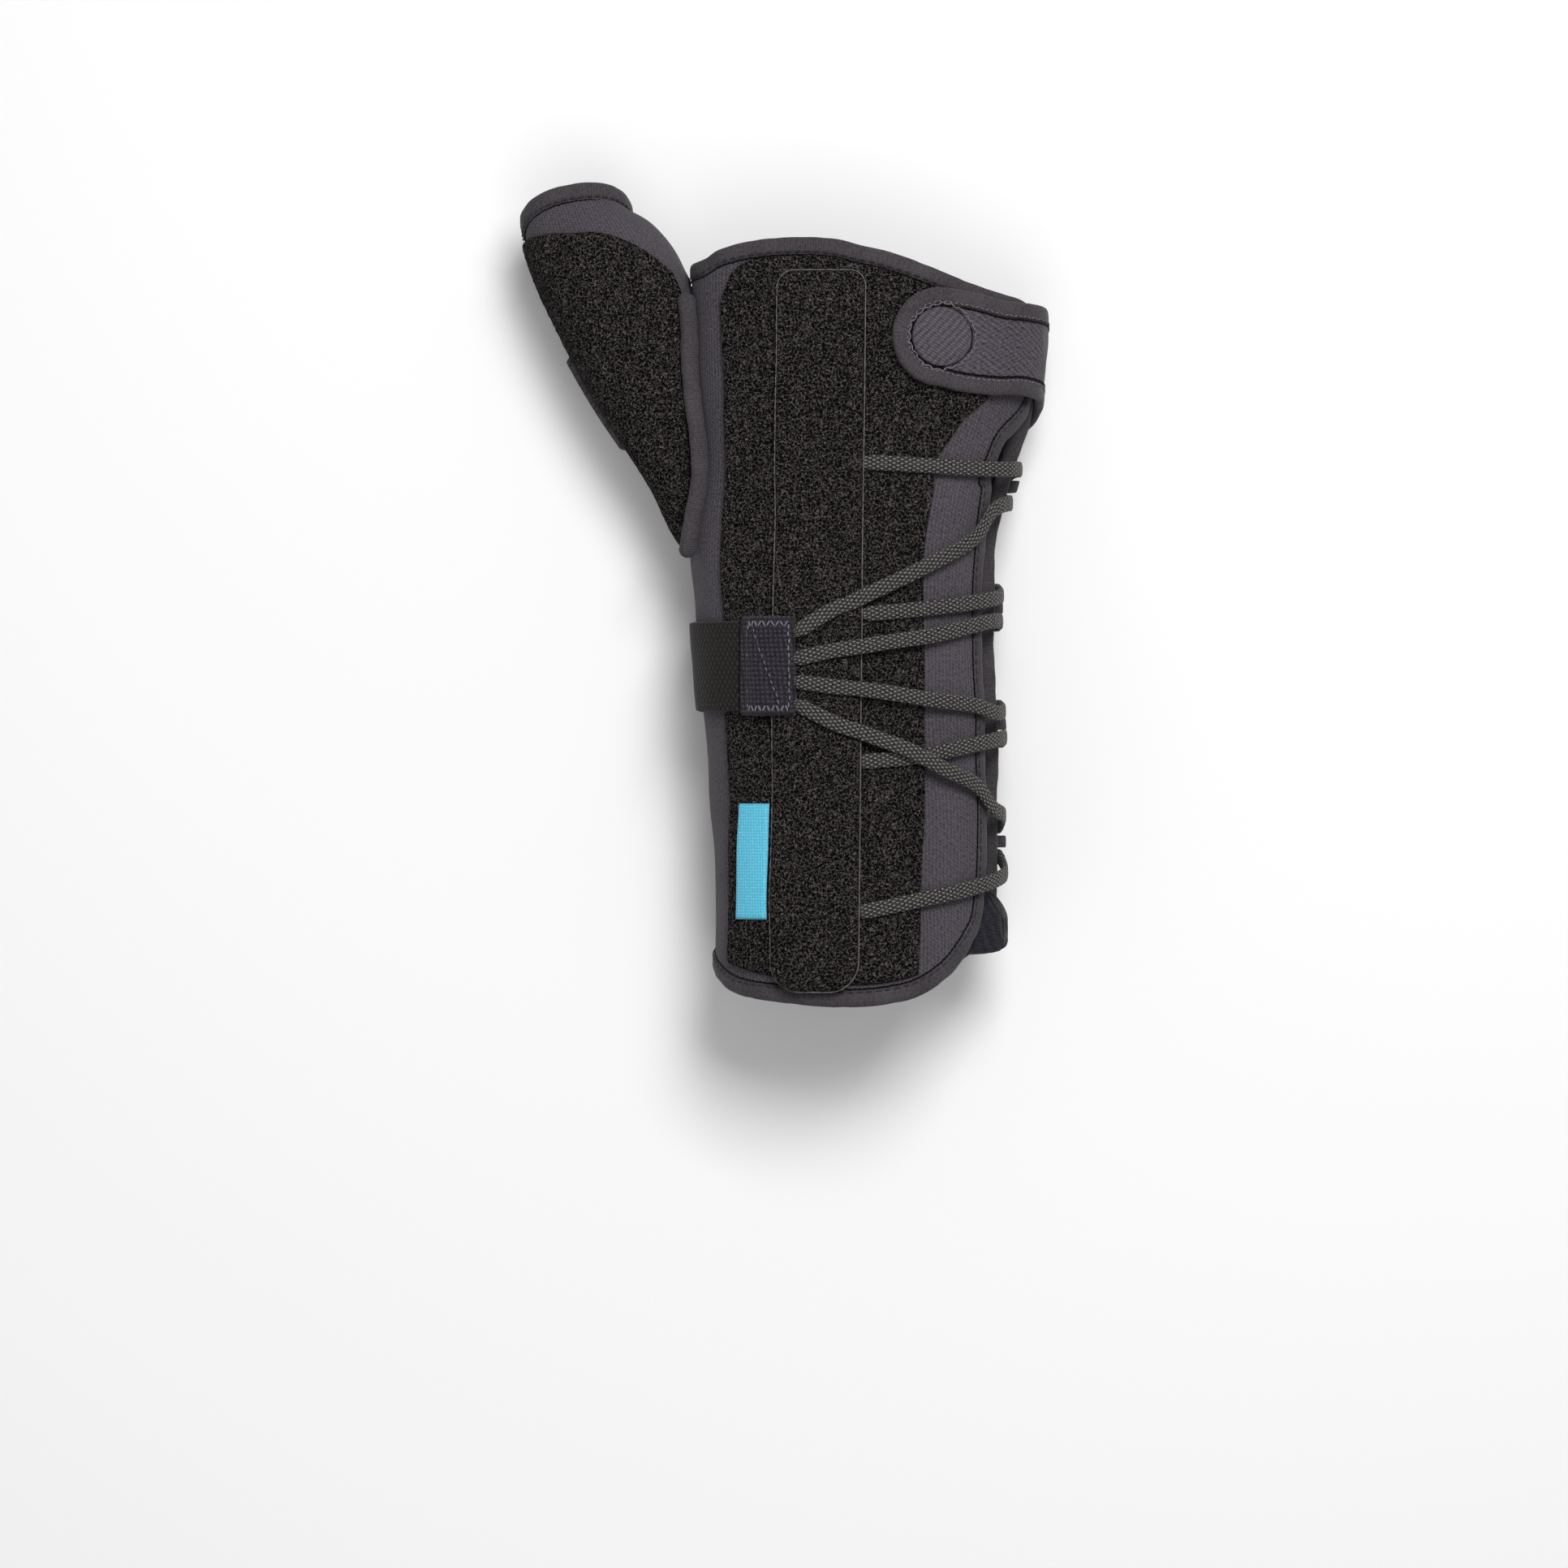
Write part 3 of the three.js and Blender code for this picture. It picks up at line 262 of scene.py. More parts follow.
# Laces, each out from under the strip, through its guide loop and back to the patch
LOOP_BOW = ((-10, 0.0215), (-19.5, 0.0165), (-22, 0.0), (-19.5, -0.0165), (-10, -0.0215))
LACES = tuple(laced(*row) for row in (
    (1, 0.679, Level.CLIMB,
     ((0.237, 0.7055), (0.38, 0.702), (0.5, 0.699), (0.575, 0.698), (1, 0.7)),
     ((1, 0.656), (0.582, 0.644), (0.539, 0.614),
      (0.413, 0.575), (0.29, 0.546), (0.223, 0.531), (0.045, 0.486))),
    (1, 0.519, Level.CLIMB,
     ((0.235, 0.508), (0.413, 0.516), (0.51, 0.522), (0.575, 0.528), (1, 0.535)),
     ((1, 0.5), (0.575, 0.499), (0.51, 0.491),
      (0.413, 0.48), (0.29, 0.471), (0.223, 0.466), (0.043, 0.45))),
    (-1, 0.366, Level.CLIMB,
     ((0.225, 0.316), (0.381, 0.323), (0.51, 0.336), (0.575, 0.343), (1, 0.348)),
     ((1, 0.383), (0.582, 0.38), (0.539, 0.388),
      (0.413, 0.396), (0.29, 0.405), (0.223, 0.409), (0.043, 0.419))),
    (-1, 0.211, Level.CROSS,
     ((0.222, 0.122), (0.381, 0.137), (0.51, 0.15), (0.58, 0.16), (1, 0.174)),
     ((1, 0.244), (0.58, 0.256), (0.539, 0.282),
      (0.444, 0.306), (0.349, 0.33), (0.223, 0.352), (0.045, 0.388))),
))

# Ends and places of the smaller pieces, in shares, degrees round the body and millimetres
STRIP_LOW = over(0.080, 0.017)
STRIP_HIGH = over(0.102, 0.956)
LABEL_ALONG = 0.111
BAND_ALONG = 0.440
PATCH_LEFT = -0.128
PATCH_RIGHT = 0.033
BAND_ROUND = 212.0
BAND_DROP = (160, 178)
STRIP_EDGE_ACROSS = -0.046
STRAP_CLIMB = (0, 25)
SLEEVE_START = 0.1
STRAP_END = over(0.438, 0.869)
STRAP_X, STRAP_Y = STRAP_END.across * HAND_WIDTH, STRAP_END.along * BODY_LENGTH
LOOP_FOLD = -12.0
LOOP_SEWN = -34.0
LOOP_TURN = 7
# The tongue's four sides, and where and how far its free corner flares out
TONGUE_LOW = round_body((58, 0.072), (30, 0.064), (10, 0.07), (-5, 0.082))
TONGUE_HIGH = round_body((58, 0.7), (25, 0.735), (-20, 0.72))
TONGUE_INNER = round_body((58, 0.072), (58, 0.4), (58, 0.7))
TONGUE_OUTER = round_body((-5, 0.082), (-4, 0.16), (-16, 0.24), (-20, 0.5), (-20, 0.72))
FLARE_FROM, FLARE_TO, FLARE_OUT = 0.180, 0.110, 7.5
FLARE_INSIDE, FLARE_OUTSIDE = 34.0, 12.0


# ---- shapes


class Table:
    """Columns of a table as smooth functions of its first column."""

    def __init__(self, names: Sequence[str], rows: Sequence[Sequence[float]]) -> None:
        """Keeps the rows of numbers under their names."""
        data = np.array(rows, float)
        self.names = list(names[1:])
        self.keys = data[:, 0]
        self.values = data[:, 1:]

    def at(self, key: Array) -> dict[str, Array]:
        """Cubic Hermite curves whose slopes are those between each row's two neighbours.

        Args:
            key: Places in the first column, held inside the table.

        Returns:
            Each other column's values there, by name.
        """
        key = np.clip(np.asarray(key, float), self.keys[0], self.keys[-1])
        last = len(self.keys) - 2
        here = np.clip(np.searchsorted(self.keys, key, side="right") - 1, 0, last)
        start, stop = self.keys[here], self.keys[here + 1]
        before = np.where(here > 0, here - 1, here + 1)
        after = np.where(here < last, here + 2, here)
        half = (stop - start) / 2
        back = half / (start - self.keys[before])
        ahead = half / (self.keys[after] - stop)
        p = (key - start) / (stop - start)
        weights = (
            -back * p**3 + 2 * back * p**2 - back * p,
            (1 + back) * p**3 - (1.5 + 2 * back) * p**2 + (back - 0.5) * p + 1,
            -(1 + ahead) * p**3 + (1.5 + ahead) * p**2 + 0.5 * p,
            ahead * p**3 - ahead * p**2,
        )
        rows = (before, here, here + 1, after)
        result = sum(w[..., None] * self.values[r] for w, r in zip(weights, rows))
        return {name: result[..., i] for i, name in enumerate(self.names)}


BODY = Table(*BODY_SECTIONS)
THUMB = Table(*THUMB_SECTIONS)


def swell(value: Array, power: Array) -> Array:
    """A cosine or sine drawn out to a superellipse's: its size to the power of 2 over the power."""
    return np.sign(value) * np.abs(value) ** (2 / power)


def hermite(start: Array, stop: Array, slope: Array, last_slope: Array, t: Array) -> Array:
    """The cubic from start to stop with those slopes: (2a-2b+v+w)t^3 + (3b-3a-2v-w)t^2 + vt + a."""
    cubic = 2 * start - 2 * stop + slope + last_slope
    return cubic * t**3 + (3 * stop - 3 * start - 2 * slope - last_slope) * t**2 + slope * t + start


def lengths(points: Array) -> Array:
    """The length walked along rows of points, from 0 at the first."""
    return np.concatenate([[0], np.cumsum(np.linalg.norm(np.diff(points, axis=0), axis=1))])


def unit(rows: Array) -> Array:
    """Rows of vectors with their length made 1."""
    return rows / np.linalg.norm(rows, axis=1)[:, None]


def skin(rings: int, sides: int, closed: bool) -> Array:
    """The four-cornered faces between rings of points, each ring numbered after the one before."""
    j, i = np.meshgrid(np.arange(rings if closed else rings - 1), np.arange(sides), indexing="ij")
    k, after = (i + 1) % sides, (j + 1) % rings
    ring = [j * sides + i, j * sides + k, after * sides + k, after * sides + i]
    return np.stack(ring, -1).reshape(-1, 4)


def smoothstep(value: Array, low: float, high: float) -> Array:
    """0 up to low, 1 from high on, and 3t^2 - 2t^3 between them."""
    t = np.clip((value - low) / (high - low), 0, 1)
    return t * t * (3 - 2 * t)


def alike(*values: Array) -> list[Array]:
    """Values as arrays of numbers, all of one shape."""
    return np.broadcast_arrays(*(np.asarray(value, float) for value in values))


def unevenness(around: Array, y: Array) -> Array:
    """Slow swells of worn padding, the same for every layer: three sines round and along it."""
    turn_by = np.radians(around)
    return (
        0.28 * np.sin(2 * turn_by + y / 11.0 + 1.3)
        + 0.20 * np.sin(3 * turn_by - y / 6.5 + 0.4)
        + 0.10 * np.sin(5 * turn_by + y / 3.7 + 2.2)
    )


def body_shape(y: Array) -> tuple[Array, Array, Array, Array, Array]:
    """Centre, half width, middle height, half height and power of the body's section at y."""
    row = BODY.at(np.asarray(y) / BODY_LENGTH)
    centre = (row["radial"] + row["ulnar"]) / 2 * HAND_WIDTH
    reach = (row["ulnar"] - row["radial"]) / 2 * HAND_WIDTH
    middle = (row["low"] + row["top"]) / 2 * FOREARM_DEPTH
    rise = (row["top"] - row["low"]) / 2 * FOREARM_DEPTH
    return centre, reach, middle, rise, row["power"]


def body(around: Array, y: Array, out: Array) -> Array:
    """Points round the body: a superellipse grown by out, flat underneath where it lies.

    Args:
        around: Degrees round the body, 0 at the little finger's side and 90 on the back.
        y: Millimetres from the forearm edge.
        out: Millimetres out from the outer face.

    Returns:
        Points with a last axis of three.
    """
    around, y, out = alike(around, y, out)
    centre, reach, middle, rise, power = body_shape(y)
    angle = np.radians(around)
    grown = out + unevenness(around, y)
    x = centre + (reach + grown) * swell(np.cos(angle), power)
    z = middle + (rise + grown) * swell(np.sin(angle), power)
    return np.stack([x, y, np.maximum(z, -np.minimum(out, 0))], -1)


def thumb(around: Array, along: Array, out: Array) -> Array:
    """Points round the thumb sleeve: a superellipse on a line from its outer side to the web.

    Args:
        around: Degrees round the sleeve, 0 at the web, 90 on the back and 180 at the outer side.
        along: Share of the sleeve's length.
        out: Millimetres out from the outer face.

    Returns:
        Points with a last axis of three.
    """
    around, along, out = alike(around, along, out)
    row = THUMB.at(along)
    outer = np.stack([row["outer_x"] * HAND_WIDTH, row["outer_y"] * BODY_LENGTH], -1)
    web = np.stack([row["web_x"] * HAND_WIDTH, row["web_y"] * BODY_LENGTH], -1)
    half = (web - outer) / 2
    length = np.linalg.norm(half, axis=-1)
    across = half / length[..., None]
    ahead = np.stack([-across[..., 1], across[..., 0]], -1)
    angle = np.radians(around)
    side, up = swell(np.cos(angle), THUMB_POWER), swell(np.sin(angle), THUMB_POWER)
    grown = out + 0.7 * unevenness(around, along * SLEEVE_LENGTH)
    depth = np.where(up > 0, row["back"], row["palm"]) * THUMB_DEPTH + grown
    flat = (outer + web) / 2 + across * ((length + grown) * side)[..., None]
    flat = flat + ahead * (row["slant"] * THUMB_DEPTH * up)[..., None]
    return np.concatenate([flat, (row["middle"] * FOREARM_DEPTH + depth * up)[..., None]], -1)


def place(spot: Spot, out: float = 0.0) -> tuple[float, float]:
    """A spot as degrees round the body and millimetres along it, seen at a height over its face."""
    y = spot.along * BODY_LENGTH
    if spot.around is not None:
        return spot.around, y
    angle, _ = seen_from_above(np.array(spot.across * HAND_WIDTH), np.array(y), out)
    return float(angle), y


def seen_from_above(x: Array, y: Array, out: float) -> tuple[Array, Array]:
    """The place on the back under millimetres x and y: the superellipse's angle solved for x."""
    centre, reach, _, _, power = body_shape(y)
    side = np.clip((x - centre) / (reach + out), -1, 1)
    return np.degrees(np.arccos(np.clip(swell(side, 4 / power), -1, 1))), y


class Line:
    """A Catmull-Rom curve through places on the body, walked by its own length."""

    STEPS = 200

    def __init__(self, spots: Sequence[Spot], out: float = 0.0) -> None:
        """Measures the curve in degrees and millimetres."""
        self.points = np.array([place(spot, out) for spot in spots])
        self.shares = np.linspace(0, 1, self.STEPS + 1)
        walked = lengths(self.point(self.shares))
        self.walked = walked / walked[-1]

    def point(self, share: Array) -> Array:
        """The curve at a share of its spans: v0, v1 are half the gaps between the neighbours."""
        last = len(self.points) - 1
        place_in = np.asarray(share, float) * last
        here = np.clip(np.floor(place_in).astype(int), 0, last)
        p = (place_in - here)[..., None]
        a, b = self.points[np.maximum(here - 1, 0)], self.points[here]
        c, d = self.points[np.minimum(here + 1, last)], self.points[np.minimum(here + 2, last)]
        return hermite(b, c, (c - a) / 2, (d - b) / 2, p)

    def at(self, share: Array) -> Array:
        """Degrees and millimetres at a share of the curve's length."""
        return self.point(np.interp(share, self.walked, self.shares))

    def spots(self, count: int, out: Array = 0.0, start: float = 0.0, stop: float = 1.0) -> Array:
        """Evenly spaced rows of degrees, millimetres and height over the face."""
        flat = self.at(np.linspace(start, stop, count + 1))
        return np.concatenate([flat, np.broadcast_to(out, (count + 1,))[:, None]], 1)


def patch(low: Line, high: Line, left: Line, right: Line) -> Place:
    """The surface between four lines: both rulings added, less the one through the corners."""
    corners = low.at(0.0), low.at(1.0), high.at(0.0), high.at(1.0)

    def at(u: Array, v: Array) -> tuple[Array, Array]:
        """Degrees and millimetres at shares u and v."""
        a, b = u[..., None], v[..., None]
        spot = low.at(u) * (1 - b) + high.at(u) * b + left.at(v) * (1 - a) + right.at(v) * a
        spot = spot - corners[0] * (1 - a) * (1 - b) - corners[1] * a * (1 - b)
        spot = spot - corners[2] * (1 - a) * b - corners[3] * a * b
        return spot[..., 0], spot[..., 1]

    return at


class Surface(Enum):
    """What a piece is laid on."""

    BODY = "body"
    THUMB = "thumb"

    def points(self, around: Array, run: Array, out: Array) -> Array:
        """Points at degrees round the surface, a run along it and a height over its face."""
        return body(around, run, out) if self is Surface.BODY else thumb(around, run, out)

    def map(self, around: Array, run: Array) -> Array:
        """The cloth's own millimetres: the length round a middle section, and the run along it."""
        turns = np.linspace(-90, 450, 541)
        middle = BODY_LENGTH / 2 if self is Surface.BODY else 0.6
        ring = self.points(turns, middle, 0.0)
        long = run if self is Surface.BODY else run * SLEEVE_LENGTH
        return np.stack([np.interp(around, turns, lengths(ring)), long], -1)


def linked(name: str, data: bpy.types.ID) -> Piece:
    """A new object of that name and data in the scene."""
    thing = bpy.data.objects.new(name, data)
    bpy.context.scene.collection.objects.link(thing)
    return thing


def make(name: str, points: Array, faces: Array, marks: Array, caps: Sequence = ()) -> Piece:
    """Puts a closed mesh into the scene, turned right side out by the sign of its volume.

    Args:
        name: The piece's name.
        points: Millimetres, a row for each vertex.
        faces: Corner numbers of the four-cornered faces.
        marks: The cloth's millimetres at each corner of those faces.
        caps: Further faces with any number of corners.

    Returns:
        The new object at the origin.
    """
    points = (np.asarray(points, float) - CENTRE) * MM
    a, b, c, d = (points[faces[:, i]] for i in range(4))
    volume = np.einsum("ij,ij->", a, np.cross(b, c)) + np.einsum("ij,ij->", a, np.cross(c, d))
    if volume < 0:
        faces, marks = faces[:, ::-1], marks[:, ::-1]
        caps = [list(cap)[::-1] for cap in caps]
    mesh = bpy.data.meshes.new(name)
    mesh.from_pydata(points, [], faces.tolist() + [list(cap) for cap in caps])
    flat = marks.reshape(-1, 2)
    spare = sum(len(cap) for cap in caps)
    flat = np.concatenate([flat, np.zeros((spare, 2))])
    layer = mesh.uv_layers.new(name="cloth")
    layer.data.foreach_set("uv", flat.astype(np.float32).ravel())
    mesh.polygons.foreach_set("use_smooth", np.ones(len(mesh.polygons), bool))
    mesh.update()
    return linked(name, mesh)


def rounded(columns: Array, rows: Array, radius: float) -> Array:
    """How far a face drops at its border: the missing part of a quarter circle of that radius.

    Args:
        columns: Distances from the side borders.
        rows: Distances from the end borders.
        radius: The quarter circle's radius, in millimetres.

    Returns:
        The drop as a share of the radius, from 1 at the border to 0.
    """
    near = np.clip(1 - columns / radius, 0, 1) ** 2 + np.clip(1 - rows / radius, 0, 1) ** 2
    return 1 - np.sqrt(np.clip(1 - near, 0, 1))


# Rough width of a tuft of the pile, and the distance to a border where there is none, in millimetres
TUFT_GRAIN = 1.2
NO_BORDER = 1000.0


@dataclass
class Sheet:
    """A piece of cloth laid on a surface, with an outer and an inner face."""

    name: str
    place: Place
    outer: Offset
    inner: Offset
    columns: int
    rows: int
    surface: Surface = Surface.BODY
    closed: bool = False
    round_edge: float = 0.0
    ruffle: float = 0.0
    seed: int = 7

    def build(self) -> Piece:
        """Both faces on a grid of shares, joined by walls round the border.

        Returns:
            The closed piece, with the cloth's millimetres in its map.
        """
        u, v = np.meshgrid(
            np.linspace(0, 1, self.columns + 1), np.linspace(0, 1, self.rows + 1)
        )
        around, run = self.place(u, v)
        outer, inner = self.outer(around, run), self.inner(around, run)
        base = self.surface.points(around, run, outer)
        across, along = self.borders(base)
        if self.round_edge:
            drop = rounded(across, along, self.round_edge) * (outer - inner) * 0.8
            outer = outer - drop
        if self.ruffle:
            bumps = tufts(base, TUFT_GRAIN, self.seed)
            fade = np.clip(np.minimum(across, along), 0.25, 1)
            outer = outer + self.ruffle * bumps * fade
        faces = [self.surface.points(around, run, out) for out in (outer, inner)]
        return self.mesh(faces, self.surface.map(around, run))

    def borders(self, base: Array) -> tuple[Array, Array]:
        """Millimetres from each point of the grid to the nearer side and the nearer end."""
        reach = []
        for axis in (1, 0):
            steps = np.linalg.norm(np.diff(base, axis=axis), axis=-1)
            walked = np.cumsum(np.insert(steps, 0, 0.0, axis), axis)
            reach.append(np.minimum(walked, walked.take([-1], axis) - walked))
        if self.closed:
            reach[0] = np.full_like(reach[0], NO_BORDER)
        return reach[0], reach[1]

    def mesh(self, layers: list[Array], marks: Array) -> Piece:
        """Joins the two grids of points into a closed mesh."""
        width = self.columns if self.closed else self.columns + 1
        points = np.concatenate([layer[:, :width].reshape(-1, 3) for layer in layers])
        below = width * (self.rows + 1)
        i, j = np.meshgrid(np.arange(self.columns), np.arange(self.rows))

        def corner(column: Array, row: Array) -> Array:
            """A corner's number, and the number of its mark, side by side."""
            return np.stack([row * width + column % width, row * (self.columns + 1) + column], -1)

        ring = [corner(i, j), corner(i + 1, j), corner(i + 1, j + 1), corner(i, j + 1)]
        top = np.stack(ring, -2).reshape(-1, 4, 2)
        low = top[:, ::-1] + np.array([below, 0])
        walls = []
        columns, rows = np.arange(self.columns), np.arange(self.rows)
        for row, flip in ((0, False), (self.rows, True)):
            pair = corner(columns, 0 * columns + row), corner(columns + 1, 0 * columns + row)
            walls.append(pair[::-1] if flip else pair)
        if not self.closed:
            for column, flip in ((self.columns, False), (0, True)):
                pair = corner(0 * rows + column, rows), corner(0 * rows + column, rows + 1)
                walls.append(pair[::-1] if flip else pair)
        down = np.array([below, 0])
        sides = [np.stack([b, a, a + down, b + down], -2) for a, b in walls]
        every = np.concatenate([top, low, *sides])
        return make(self.name, points, every[..., 0], marks.reshape(-1, 2)[every[..., 1]])


def tufts(points: Array, grain: float, seed: int) -> Array:
    """Bumps of a given grain: products of sines along three seeded slanting directions.

    Args:
        points: Millimetres.
        grain: Rough width of a bump, in millimetres.
        seed: Seed of the directions.

    Returns:
        Heights from about -1 to 1.
    """
    random = np.random.default_rng(seed)
    total = np.zeros(points.shape[:-1])
    for _ in range(6):
        way, other = random.normal(size=3), random.normal(size=3)
        first = points @ (way / np.linalg.norm(way)) * np.pi / grain * random.uniform(0.8, 1.3)
        second = points @ (other / np.linalg.norm(other)) * np.pi / grain * 0.7
        total += np.sin(first + random.uniform(0, 6)) * np.sin(second + random.uniform(0, 6))
    return total / 2.5


def level_of(value: float) -> Offset:
    """The same height everywhere."""
    return lambda around, run: np.full_like(around, value)


# Stitches under the splint keep this far over the floor, in millimetres
THREAD_OVER_FLOOR = 0.3


@dataclass
class Path:
    """A line carried over a surface: its points, the surface's normals and the ways aside."""

    centres: Array
    normals: Array
    sideways: Array

    @classmethod
    def over(cls, surface: Surface, spots: Array, circle: bool = False) -> "Path":
        """Follows rows of degrees, run and height, with central differences for directions.

        Args:
            surface: What the spots are on.
            spots: Rows of degrees, run and height over the face.
            circle: Whether the line closes on itself.

        Returns:
            The path.
        """
        around, run, out = spots.T
        centres = surface.points(around, run, out)
        if circle:
            gaps = np.roll(centres, -1, 0) - np.roll(centres, 1, 0)
        else:
            gaps = np.gradient(centres, axis=0)
        ahead = unit(gaps)
        high = surface.points(around, run, -WALL / 4)
        normals = high - surface.points(around, run, -WALL / 2)
        normals -= ahead * np.einsum("ij,ij->i", ahead, normals)[:, None]
        normals = unit(normals)
        return cls(centres, normals, np.cross(ahead, normals))

    def moved(self, aside: float, up: float) -> Array:
        """The path's points, moved sideways in the surface and out of it, and kept over the floor."""
        points = self.centres + self.sideways * aside + self.normals * up
        points[:, 2] = np.maximum(points[:, 2], THREAD_OVER_FLOOR)
        return points


@dataclass
class Tape:
    """A flat section carried along a line on a surface."""

    name: str
    spots: Array
    half_width: float
    half_thickness: float
    aside: float = 0.0
    surface: Surface = Surface.BODY
    circle: bool = False
    sides: int = 16
    power: float = 3.2
    ripple: float = 0.0
    ripple_length: float = 9.0

    def path(self) -> Path:
        """The line that the section is carried along."""
        return Path.over(self.surface, self.spots, self.circle)

    def build(self) -> Piece:
        """Rings of a superellipse section on the path, skinned, with rounded ends.

        Returns:
            The closed piece, with its width and length as the cloth's millimetres.
        """
        path = self.path()
        count = len(path.centres)
        angle = (np.arange(self.sides) + 0.5) / self.sides * 2 * np.pi
        wide = swell(np.cos(angle), self.power) * self.half_width
        thick = swell(np.sin(angle), self.power) * self.half_thickness
        walked = lengths(path.centres)
        swing = 1 + self.ripple * np.sin(2 * np.pi * walked / self.ripple_length) * np.sin(
            2 * np.pi * walked / (2.7 * self.ripple_length) + 1
        )
        if not self.circle:
            near = np.minimum(walked, walked[-1] - walked) / max(self.half_thickness, 0.1)
            swing = swing * np.sqrt(1 - np.clip(1 - near, 0, 0.97) ** 2)
        rings = (
            path.centres[:, None]
            + path.sideways[:, None]
            * (self.aside + wide[None, :, None] * np.minimum(swing, 1)[:, None, None])
            + path.normals[:, None] * (thick[None, :, None] * swing[:, None, None])
        )
        rings[..., 2] = np.maximum(rings[..., 2], 0)
        faces = skin(count, self.sides, self.circle)
        ring = np.stack([wide, thick], -1)
        girth = lengths(np.concatenate([ring, ring[:1]]))
        total = np.append(walked, 2 * walked[-1] - walked[-2])
        first = faces[:, :1]
        i, j = first % self.sides + np.array([0, 1, 1, 0]), first // self.sides + np.array([0, 0, 1, 1])
        marks = np.stack([girth[i], total[j]], -1)
        caps = []
        if not self.circle:
            first = np.arange(self.sides)
            caps = [first[::-1].tolist(), (first + (count - 1) * self.sides).tolist()]
        return make(self.name, rings.reshape(-1, 3), faces, marks, caps)


class Thread(Enum):
    """How a row of stitches is sewn."""

    RUNNING = 0.0
    ZIGZAG = 1.0


@dataclass
class Stitches:
    """A row of stitches, each a small thread lying between two needle holes."""

    name: str
    points: Array
    normals: Array
    pitch: float = 2.6
    length: float = 2.0
    width: float = 0.38
    swing: float = 0.0
    style: Thread = Thread.RUNNING
    circle: bool = False
    sides: int = 6
    pod: tuple = (-1.0, -0.8, 0.0, 0.8, 1.0)

    def build(self) -> Piece:
        """Copies of a pod of six sides along the points: radius w times the root of 1 - t^2.

        Returns:
            All the stitches as one piece.
        """
        extra = int(self.circle)
        points, normals = (np.concatenate([rows, rows[:extra]]) for rows in (self.points, self.normals))
        walked = lengths(points)
        count = max(int(walked[-1] / self.pitch), 1)
        middle = (np.arange(count) + 0.5) * walked[-1] / count

        def along(values: Array, at: Array) -> Array:
            """Rows of values read at lengths along the points."""
            return np.stack([np.interp(at, walked, values[:, i]) for i in range(3)], -1)

        half = self.length / 2
        first, last = along(points, middle - half), along(points, middle + half)
        up = unit(along(normals, middle))
        side = unit(np.cross(last - first, up))
        lean = np.where(np.arange(count) % 2 == 0, 1.0, -1.0)[:, None] * self.swing
        if self.style is Thread.ZIGZAG:
            first, last = first - side * lean, last + side * lean
        else:
            wander = np.sin(np.arange(count) * 2.4)[:, None] * self.swing
            first, last = first + side * wander, last + side * wander
        centre, ahead = (first + last) / 2, last - first
        side = unit(np.cross(ahead, up))
        t = np.array(self.pod)
        thick = np.sqrt(1 - t**2 * 0.92) * self.width
        turns = np.arange(self.sides) / self.sides * 2 * np.pi
        pod = (
            centre[:, None, None]
            + ahead[:, None, None] * (t / 2)[None, :, None, None]
            + side[:, None, None] * (thick[:, None] * np.cos(turns))[None, :, :, None]
            + up[:, None, None] * (thick[:, None] * np.sin(turns))[None, :, :, None]
        )
        ends = np.array([[0, 3, 2, 1], [0, 5, 4, 3], [24, 25, 26, 27], [24, 27, 28, 29]])
        faces = np.concatenate([skin(len(t), self.sides, False), ends])
        shift = np.arange(count)[:, None, None] * len(t) * self.sides
        every = (faces[None] + shift).reshape(-1, 4)
        marks = np.zeros((len(every), 4, 2))
        marks[..., 0] = (every % self.sides) * 0.3
        marks[..., 1] = (every // self.sides) * 0.5
        return make(self.name, pod.reshape(-1, 3), every, marks)


def core(surface: Surface, out: float, start: float, stop: float, steps: int, sides: int) -> Piece:
    """Rings round a surface, skinned and capped: the solid that neighbours are cut by.

    Args:
        surface: What the rings go round.
        out: Millimetres out from its face.
        start: First ring, as a share of the length.
        stop: Last ring, as a share of the length.
        steps: Rings, less one.
        sides: Points in a ring.

    Returns:
        The closed solid.
    """
    long = BODY_LENGTH if surface is Surface.BODY else 1.0
    run, around = np.meshgrid(
        np.linspace(start, stop, steps + 1) * long, np.arange(sides) / sides * 360, indexing="ij"
    )
    points = surface.points(around, run, out).reshape(-1, 3)
    first = np.arange(sides)
    caps = [first[::-1].tolist(), (first + steps * sides).tolist()]
    faces = skin(steps + 1, sides, False)
    return make("cutter", points, faces, np.zeros((len(faces), 4, 2)), caps)


def cut(piece: Piece, *cutters: Piece) -> Piece:
    """Takes the cutters out of a piece with exact booleans, applies them and removes the cutters."""
    for cutter in cutters:
        change = piece.modifiers.new("cut", "BOOLEAN")
        change.operation, change.solver, change.object = "DIFFERENCE", "EXACT", cutter
    graph = bpy.context.evaluated_depsgraph_get()
    result = bpy.data.meshes.new_from_object(piece.evaluated_get(graph))
    piece.modifiers.clear()
    piece.data, old = result, piece.data
    result.name = piece.name
    bpy.data.meshes.remove(old)
    for cutter in cutters:
        mesh = cutter.data
        bpy.data.objects.remove(cutter)
        bpy.data.meshes.remove(mesh)
    return piece


# ---- finishes


def linear(colour: str) -> tuple[float, float, float, float]:
    """An sRGB hex colour as linear red, green, blue and alpha."""
    parts = np.array([int(colour[i : i + 2], 16) for i in (1, 3, 5)]) / 255
    bright = np.where(parts <= 0.04045, parts / 12.92, ((parts + 0.055) / 1.055) ** 2.4)
    return (*bright.tolist(), 1.0)


